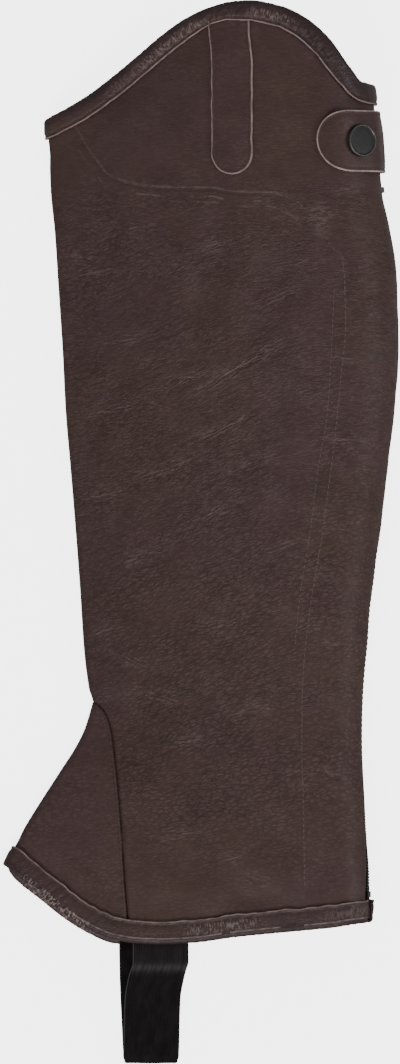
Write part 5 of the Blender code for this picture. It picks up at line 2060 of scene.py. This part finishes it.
@dataclass
class TongueStrap(Part):
    """The round-ended strap that hangs from the top binding."""

    leg: Leg
    centre: float = 17.5
    half: float = 10.8
    end: float = 189.2
    tuck: float = 5.5
    below_roll: float = 9.0
    gap: float = 0.3
    leather: float = 1.6
    crown: float = 0.30
    pared: float = 0.40
    groove: float = 0.22
    groove_at: float = 1.9
    stitch_row: int = 3
    cut_size: tuple[float, float] = (0.0214, 0.084)

    def __post_init__(self) -> None:
        """Draw the strap's uneven edges."""
        self.stray = Unevenness(41, (9.0, 14.0, 23.0))

    def surface(self, across: Floats, along: Floats, lift: Floats | float) -> Floats:
        """Find points on the strap.

        Args:
            across: from its centre line.
            along: from the round end's centre, up.
            lift: the height over its underside.

        Returns:
            the points.
        """
        y = self.end + self.half + along
        lean = 0.10 * self.stray(along) - 1.9 * ease(y, 246.0, 270.0)
        x = self.centre + across * (1 + 0.008 * self.stray(along + 30)) + lean
        girth = self.form.outer_girth(x, y)
        return self.form.skin(girth, y, self.leg.relief(girth, y) + self.gap + lift)

    def build(self) -> None:
        """Make the strap, dress it and sew it."""
        f, below = self.finishes, self.form.roll_reach + self.below_roll
        line = self.form.lines[Side.TOP][0]
        slant = np.sqrt(1 + line.steepness(self.centre) ** 2)
        top = line(self.centre) - below * slant
        straight = float(top - self.end - self.half + self.tuck)
        across, along, inset = RoundStrap(self.half, straight).grid()
        limit = line(self.centre + across) - (below - self.tuck) * slant
        along = along - np.maximum(self.end + self.half + along - limit, 0.0)
        face = self.leather + self.crown * ease(inset, self.groove_at, self.half) - self.pared * (inset < 0.1)
        outside = self.surface(across, along, face - self.groove * hump(inset - self.groove_at, 0.55))
        inside = self.surface(across, along, 0.0)
        bm = self.shop.shell(outside, inside, np.stack([across, along], -1), raw_rows=(0,))
        finishes = (f.strap, f.raw, f.flesh)
        obj = self.shop.piece("tongue_leather", bm, finishes, Slot.LEATHER, ("tongue_strap",))

        rows = Sewing(pitch=2.6, stitch=1.9, radius=0.20, sink=0.05)
        points = outside[:, self.stitch_row]
        rows.row(points, np.zeros_like(points) + np.array([0.0, 0.0, 1.0]), 43)
        self.shop.piece("tongue_thread", rows.sewn(), (f.dark_thread,), Slot.LEATHER)


@dataclass
class SnapTab(Part):
    """The tab that closes over the zip, with its snap's cap."""

    centre: float = 206.7
    half: float = 16.3
    tip_at: float = 62.0
    root_turn: float = -60.0
    snap_at: float = 82.6
    leather: float = 1.8
    crown: float = 0.28
    pared: float = 0.42
    groove: float = 0.26
    groove_at: float = 2.1
    dish: float = 0.55
    dish_radius: float = 11.5
    side_steps: int = 56
    round_steps: int = 44
    insets: tuple[float, ...] = (0.0, 0.75, 1.4, 2.1, 2.8, 4.0, 6.0, 8.5, 11.5, 14.0)
    stitch_row: int = 3
    root_row: float = 2.4
    layer_gap: float = 0.45
    cap_radius: float = 8.7
    cap_height: float = 2.2
    facets: int = 96
    cut_size: tuple[float, float] = (0.0326, 0.078)

    def __post_init__(self) -> None:
        """Find the snap, the tip and the root on the form."""
        form, here = self.form, np.array(self.centre)
        self.stand = column_of(TAB_LIFT, 0, 1)
        radius = float(form.depth(here)) / 2
        middle = float(form.back(here)) - radius
        self.past = radius * (pi / 2 - np.arccos((self.snap_at - middle) / radius))
        snap = float(form.back_at(here)) + self.past
        self.tip = float(form.outer_girth(np.array(self.tip_at), here)) - snap
        self.root = float(form.back_girth(np.array(self.root_turn), here)) - snap

    def surface(self, from_snap: Floats, along: Floats, lift: Floats | float = 0.0) -> Floats:
        """Find points over the tab's underside.

        Args:
            from_snap: the way round, from the snap.
            along: the Y of each point.
            lift: the height over the underside.

        Returns:
            the points.
        """
        girth = self.girth(from_snap, along)
        return self.form.skin(girth, along, self.stand(from_snap) + lift)

    def girth(self, from_snap: Floats, along: Floats) -> Floats:
        """Find girths from the way round from the snap."""
        return self.form.back_at(along) + self.past + from_snap

    def build(self) -> None:
        """Make the tab, dress it and sew it."""
        f, straight = self.finishes, self.root - self.tip - self.half
        shape = RoundStrap(self.half, straight, self.side_steps, self.round_steps, self.insets)
        across, run, inset = shape.grid()
        from_snap = self.tip + self.half + run
        dish = self.dish * hump(np.hypot(from_snap, across), self.dish_radius)
        pull = 0.15 * hump(from_snap + 14.0, 4.0) * np.cos(across / 3.4) * ease(inset, 3.0, 8.0)
        face = self.leather + self.crown * ease(inset, self.groove_at, 9.0) - self.pared * (inset < 0.1)
        face = face - self.groove * hump(inset - self.groove_at, 0.6) - dish + pull
        along = self.centre + across
        outside = self.surface(from_snap, along, face)
        inside = self.surface(from_snap, along, 0.0)
        bm = self.shop.shell(outside, inside, np.stack([across, run], -1), raw_rows=(0,))
        finishes = (f.strap, f.tab_raw, f.flesh)
        obj = self.shop.piece("tab_leather", bm, finishes, Slot.LEATHER, ("snap_tab",))

        rows = Sewing(pitch=2.6, stitch=1.9, radius=0.21, sink=0.05)
        away = self.form.outward(self.girth(from_snap, along), along)
        rows.row(outside[:, self.stitch_row], away[:, self.stitch_row], 47)
        side = self.half - self.root_row
        y = np.linspace(self.centre - side, self.centre + side, 12)
        end = self.root - self.root_row + 0 * y
        rows.row(self.surface(end, y, self.leather + 0.2), self.form.outward(self.girth(end, y), y), 48)
        self.shop.piece("tab_thread", rows.sewn(), (f.dark_thread,), Slot.LEATHER)

    def frame(self, extra: float) -> Matrix:
        """Find the snap's frame.

        Args:
            extra: its height above the leather.

        Returns:
            the frame, with Z outward.
        """
        at = np.array([0.0, -4.0, 4.0, 0.0, 0.0])
        y = self.centre + np.array([0.0, 0.0, 0.0, -6.0, 6.0])
        spots = self.surface(at, y)
        upward = spots[4] - spots[3]
        outward = unit(np.cross(spots[2] - spots[1], upward))
        ground = spots[0] - outward * float(self.stand(np.array(0.0)))
        return frame_at(ground + outward * extra, outward, upward)

    def fit_snap(self) -> None:
        """Turn the cap, with its raised rim, in the cap's solid's place."""
        base = float(self.stand(np.array(0.0))) + self.leather + self.layer_gap
        r, h, f = self.cap_radius, self.cap_height, self.finishes
        profile = (
            (0.0, 0.0), (r - 0.9, 0.0), (r - 0.35, 0.12), (r - 0.05, 0.45), (r, 0.95), (r - 0.05, h - 0.55),
            (r - 0.22, h - 0.22), (r - 0.50, h - 0.04), (r - 0.80, h), (r - 1.05, h - 0.12),
            (r - 1.22, h - 0.40), (r - 1.40, h - 0.62), (r - 1.75, h - 0.66), (r - 2.1, h - 0.58),
            (r * 0.55, h - 0.44), (r * 0.3, h - 0.38), (0.0, h - 0.36),
        )
        bm = self.shop.turned(profile, self.facets)
        for face in bm.faces:
            middle = face.calc_center_median()
            if hypot(middle.x, middle.y) < (r - 1.3) * MM and middle.z > 0.5 * h * MM:
                face.material_index = 1
        bmesh.ops.transform(bm, matrix=self.frame(base), verts=bm.verts)
        self.shop.piece("cap_turned", bm, (f.rim, f.cap), Slot.GUNMETAL, ("snap_cap",), sharp=60.0)


# The zip

@dataclass
class Zip(Part):
    """The closed back zip: its tape and teeth."""

    tape_width: float = 24.0
    tape: float = 0.8
    tape_gap: float = 0.6
    pitch: float = 1.55
    tooth: tuple[float, float, float] = (3.0, 1.02, 1.75)
    tooth_round: float = 0.26
    tooth_reach: float = 1.25
    tooth_lift: float = 0.45
    low: float = -190.7
    high: float = 176.2
    tape_low: float = -192.6
    tape_high: float = 225.1
    tape_columns: int = 24
    tape_rows: int = 219
    bead: float = 0.315
    bead_at: float = 2.6
    cut_size: tuple[float, float] = (0.024, 0.4177)

    def surface(self, across: Floats, along: Floats, lift: Floats | float) -> Floats:
        """Find points over the tape's outer face, from its centre line."""
        girth = self.form.zip_girth(along) + across
        return self.form.skin(girth, along, lift - self.form.leather - self.tape_gap)

    def build(self) -> None:
        """Weave the tape and set the teeth on it."""
        f = self.finishes
        across = np.linspace(-self.tape_width / 2, self.tape_width / 2, self.tape_columns + 1)[:, None]
        along = np.linspace(self.tape_low, self.tape_high, self.tape_rows + 1)[None, :]
        across, along = across + 0 * along, along + 0 * across
        outside = self.surface(across, along, self.bead * hump(np.abs(across) - self.bead_at, 0.7))
        inside = self.surface(across, along, -self.tape)
        bm = self.shop.shell(outside, inside, np.stack([across, along], -1), lining=0, rim=0)
        tape = self.shop.piece("zip_tape_woven", bm, (f.tape,), Slot.TAPE, ("zip_tape",))

        bm = bmesh.new()
        bmesh.ops.create_cube(bm, size=1.0)
        bmesh.ops.transform(bm, matrix=sized(self.tooth), verts=bm.verts)
        bmesh.ops.bevel(
            bm, geom=list(bm.edges), offset=self.tooth_round * MM, segments=1, profile=0.5,
            affect="EDGES", material=-1,
        )
        places = []
        count = int((self.high - self.low) / self.pitch)
        for way in (-1, 1):
            y = self.low + (np.arange(count) + 0.5 + 0.25 * way) * self.pitch
            middle = self.surface(way * self.tooth_reach + 0 * y, y, self.tooth_lift + self.tooth[2] / 2)
            away = self.form.outward(self.form.zip_girth(y), y)
            up = self.surface(0 * y, y + 1.0, 0.0) - self.surface(0 * y, y - 1.0, 0.0)
            places += [frame_at(*each) for each in zip(middle, away, up)]
        teeth = self.shop.copies(bm, places)
        self.shop.piece("zip_teeth_closed", teeth, (f.teeth,), Slot.TEETH, ("zip_chain",))


# The stirrup

@dataclass
class Stirrup(Part):
    """The elastic that goes from the outer hem under the boot to the inner hem."""

    width: float = 29.8
    elastic: float = 1.6
    inside: float = 9.0
    bend: float = 3.2
    bottom: float = -281.4
    columns: int = 30
    rows: int = 230
    crease_at: float = -231.6
    crease_half: float = 2.4
    crease_depth: float = 0.95
    spring: float = 0.0875
    necked: float = 0.055
    front_share: float = 0.52
    root_gap: float = 0.6
    cut_size: tuple[float, float] = (0.0298, 0.15)

    def line(self) -> Floats:
        """Set out the outer face's middle line.

        Returns:
            the run, Y, Z, X and tilt in degrees of each row.
        """
        form = self.form
        start = STIRRUP_FRONT[0]

        def girths(_: Floats, along: Floats) -> Floats:
            """Find the girth above the strap's centre, whatever the share."""
            return form.outer_girth(start[2] + 0 * along, along)

        hem = float(form.edge_along(Side.HEM, girths, np.zeros(1))[0])
        under = form.leather + self.root_gap + form.binding_leather
        first = []
        for along in (hem + self.inside, hem + self.inside / 2, hem - form.roll_reach - 1.5):
            y = np.full(2, along)
            spots = form.skin(form.outer_girth(start[2] + np.array([-8.0, 8.0]), y), y, -under)
            tilt = np.degrees(atan((spots[1, 2] - spots[0, 2]) / (spots[1, 0] - spots[0, 0])))
            first.append((along, spots[:, 2].mean() - 0.15, start[2], tilt))
        centre = STIRRUP_FRONT[-1][2] - 0.2
        turned = [
            (self.bottom + self.bend + self.bend * cos(turn), self.bend + self.bend * sin(turn), centre, 0.0)
            for turn in np.linspace(pi / 2, 3 * pi / 2, 9)
        ]
        points = np.array([*first, *STIRRUP_FRONT, *turned, *STIRRUP_BACK])
        run = length_along(points[:, :2])
        at = np.linspace(0, run[-1], self.rows + 1)
        return np.stack([at] + [SmoothLine(run, points[:, i])(at) for i in range(4)], -1)

    def build(self) -> None:
        """Make the elastic."""
        line = self.line()
        way = unit(np.gradient(line[:, 1:3], axis=0))
        run, along, height, middle, tilt = (line[None, :, i] for i in range(5))
        side = np.linspace(-0.5, 0.5, self.columns + 1)[:, None]
        front = np.arange(len(line)) < len(line) * self.front_share
        crease = hump(along - self.crease_at, self.crease_half) * front
        spring = self.spring * np.sin(side * 9.0 + run * 0.06) * front
        necked = self.necked * ease(along, self.bottom + 2.6, self.bottom + 0.2)
        across = side * self.width * (1 - 0.012 * crease - necked)
        edge = 1 - np.clip((np.abs(side) - 0.46) / 0.04, 0, 1) ** 2 * 0.55

        def face(depth: Floats) -> Floats:
            """Find the points at a depth under the outer face.

            Args:
                depth: the depth of each place, by column and row.

            Returns:
                the points.
            """
            deep = depth - self.crease_depth * crease - spring
            x = middle + across * np.cos(np.radians(tilt))
            z = height + across * np.sin(np.radians(tilt)) + way[:, 0] * deep
            return np.stack([x, along + way[:, 1] * deep, z], -1)

        half = self.elastic / 2
        outside, inside = face(half - half * edge), face(half + half * edge)
        cut = np.stack(np.broadcast_arrays(side * self.width, run), -1)
        # Marks for the finish: the fold's crease, painted as a highlight, and the stretch above the fold,
        # painted lighter.
        above = ease(along, self.crease_at - 3.0, self.crease_at) * front
        marks = np.stack(np.broadcast_arrays(crease, above, 0.0 * side), -1)
        bm = self.shop.shell(outside, inside, cut, lining=0, rim=0, marks=marks)
        finishes = (self.finishes.elastic,)
        solids = ("stirrup_outer", "stirrup_inner")
        obj = self.shop.piece("stirrup_elastic", bm, finishes, Slot.ELASTIC, solids)


# The studio

@dataclass
class Studio:
    """A pale floor, soft light and a camera straight above."""

    height: float = 0.5650
    lens: float = 400.0
    across: float = 0.0003
    middle: float = 0.022
    floor_size: float = 24.0
    floor_glow: float = 4.0
    floor_drop: float = 0.0006
    sensor: float = 36.0
    sky_strength: float = 0.40

    def camera(self) -> None:
        """Look straight down, with the frame's height on the long side."""
        data = bpy.data.cameras.new("overhead")
        data.lens = self.lens
        data.sensor_width = self.sensor
        away = self.height * self.lens / self.sensor
        data.clip_end = 50.0
        obj = bpy.data.objects.new("overhead", data)
        obj.location = (self.across, 0.0, self.middle + away)
        bpy.context.scene.collection.objects.link(obj)
        bpy.context.scene.camera = obj

    def floor(self) -> None:
        """Lay a plain lit sheet under the half chap, nearly white, that casts no light on it."""
        finish = FinishGraph("studio_floor").closed(
            (0.94, 0.94, 0.94), 0.9, Specular_IOR_Level=0.1, Emission_Strength=self.floor_glow,
            Emission_Color=(1.0, 1.0, 1.0, 1.0),
        )
        bm = bmesh.new()
        bmesh.ops.create_grid(bm, x_segments=1, y_segments=1, size=self.floor_size / 2)
        bmesh.ops.translate(bm, verts=bm.verts, vec=(0.0, 0.0, -self.floor_drop))
        mesh = bpy.data.meshes.new("studio_floor")
        bm.to_mesh(mesh)
        bm.free()
        mesh.materials.append(finish)
        obj = bpy.data.objects.new("studio_floor", mesh)
        obj.visible_diffuse = False
        obj.visible_glossy = False
        bpy.context.scene.collection.objects.link(obj)

    def light(self) -> None:
        """Set a soft key below, a second one at the right, and an even sky."""
        for name, place, size, power in (
            ("key", (-1.3, -4.2, 4.2), 2.4, 142.0),
            ("second", (3.4, -0.4, 2.4), 2.2, 53.0),
        ):
            data = bpy.data.lights.new(name, "AREA")
            data.shape = "DISK"
            data.size = size
            data.energy = power
            obj = bpy.data.objects.new(name, data)
            obj.location = place
            obj.rotation_euler = (-Vector(place)).to_track_quat("-Z", "Y").to_euler()
            bpy.context.scene.collection.objects.link(obj)
        world = bpy.data.worlds.new("sky")
        bpy.context.scene.world = world
        world.use_nodes = True
        g = Graph(world.node_tree)
        inputs = {"Color": (1.0, 1.0, 1.0, 1.0), "Strength": self.sky_strength}
        sky = g.read("ShaderNodeBackground", {}, inputs, "Background")
        g.node("ShaderNodeOutputWorld", {}, {"Surface": sky})


def dress_solids(finishes: Finishes) -> None:
    """Give the metal solids that stay their finish.

    Args:
        finishes: the half chap's materials.
    """
    for name, finish in (
        ("snap_stud", finishes.metal), ("zip_slider", finishes.metal),
        ("zip_pull", finishes.metal), ("zip_stop", finishes.teeth),
    ):
        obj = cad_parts[name]
        obj.data.materials.clear()
        obj.data.materials.append(finish)


def main() -> None:
    """Build the half chap and its studio."""
    logging.basicConfig(level=logging.INFO, format="%(name)s: %(message)s")
    form, shop, finishes = LegForm(), Workshop(), Finishes()
    leg = Leg(form, shop, finishes)
    leg.build()
    leg.sew()
    instep = Instep(form, shop, finishes)
    instep.build()
    instep.sew()
    top = Binding(
        form, shop, finishes, Side.TOP, "top_binding_strip", 9.0,
        ("top_binding_outer", "top_binding_inner"), 71, finishes.raw,
        strap_span=(6.2, 27.6), cut_size=(0.52, 0.024),
        # Painted glints where the strip gathers, painted shade on the roll and over its right end.
        gathers_and_glints=(
            (-50.0, -30.0, 0.22), (-30.0, 4.0, 0.6), (6.0, 20.0, 0.2), (26.0, 50.0, 0.55), (52.0, 72.0, 0.18),
        ),
        painted_roll_shade=1.0, narrow=1.8, painted_shades=((47.0, 110.0, 1.25),),
    )
    top.build()
    top.sew()
    hem = Binding(
        form, shop, finishes, Side.HEM, "hem_binding_strip", 10.0,
        ("hem_binding_outer", "hem_binding_inner"), 81, finishes.worn_raw,
        wander=0.32, cut_size=(0.45, 0.026),
        # Painted glints on the far strip, painted shade on the roll and over the whole strip, and painted
        # highlight lines along the roll.
        gathers_and_glints=((-6.0, 30.0, 0.5), (66.0, 90.0, 0.2)), glints=((-92.0, -60.0, 1.3),), painted_roll_shade=0.5,
        painted_shades=((-160.0, 160.0, 0.35),),
        lines=((-66.0, 10.0, 1.3), (18.0, 44.0, 0.9), (56.0, 88.0, 1.2)),
    )
    hem.build()
    hem.sew()
    TongueStrap(form, shop, finishes, leg).build()
    tab = SnapTab(form, shop, finishes)
    tab.build()
    tab.fit_snap()
    Zip(form, shop, finishes).build()
    Stirrup(form, shop, finishes).build()
    dress_solids(finishes)
    studio = Studio()
    studio.camera()
    studio.floor()
    studio.light()
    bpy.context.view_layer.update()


if __name__ == "__main__":
    main()
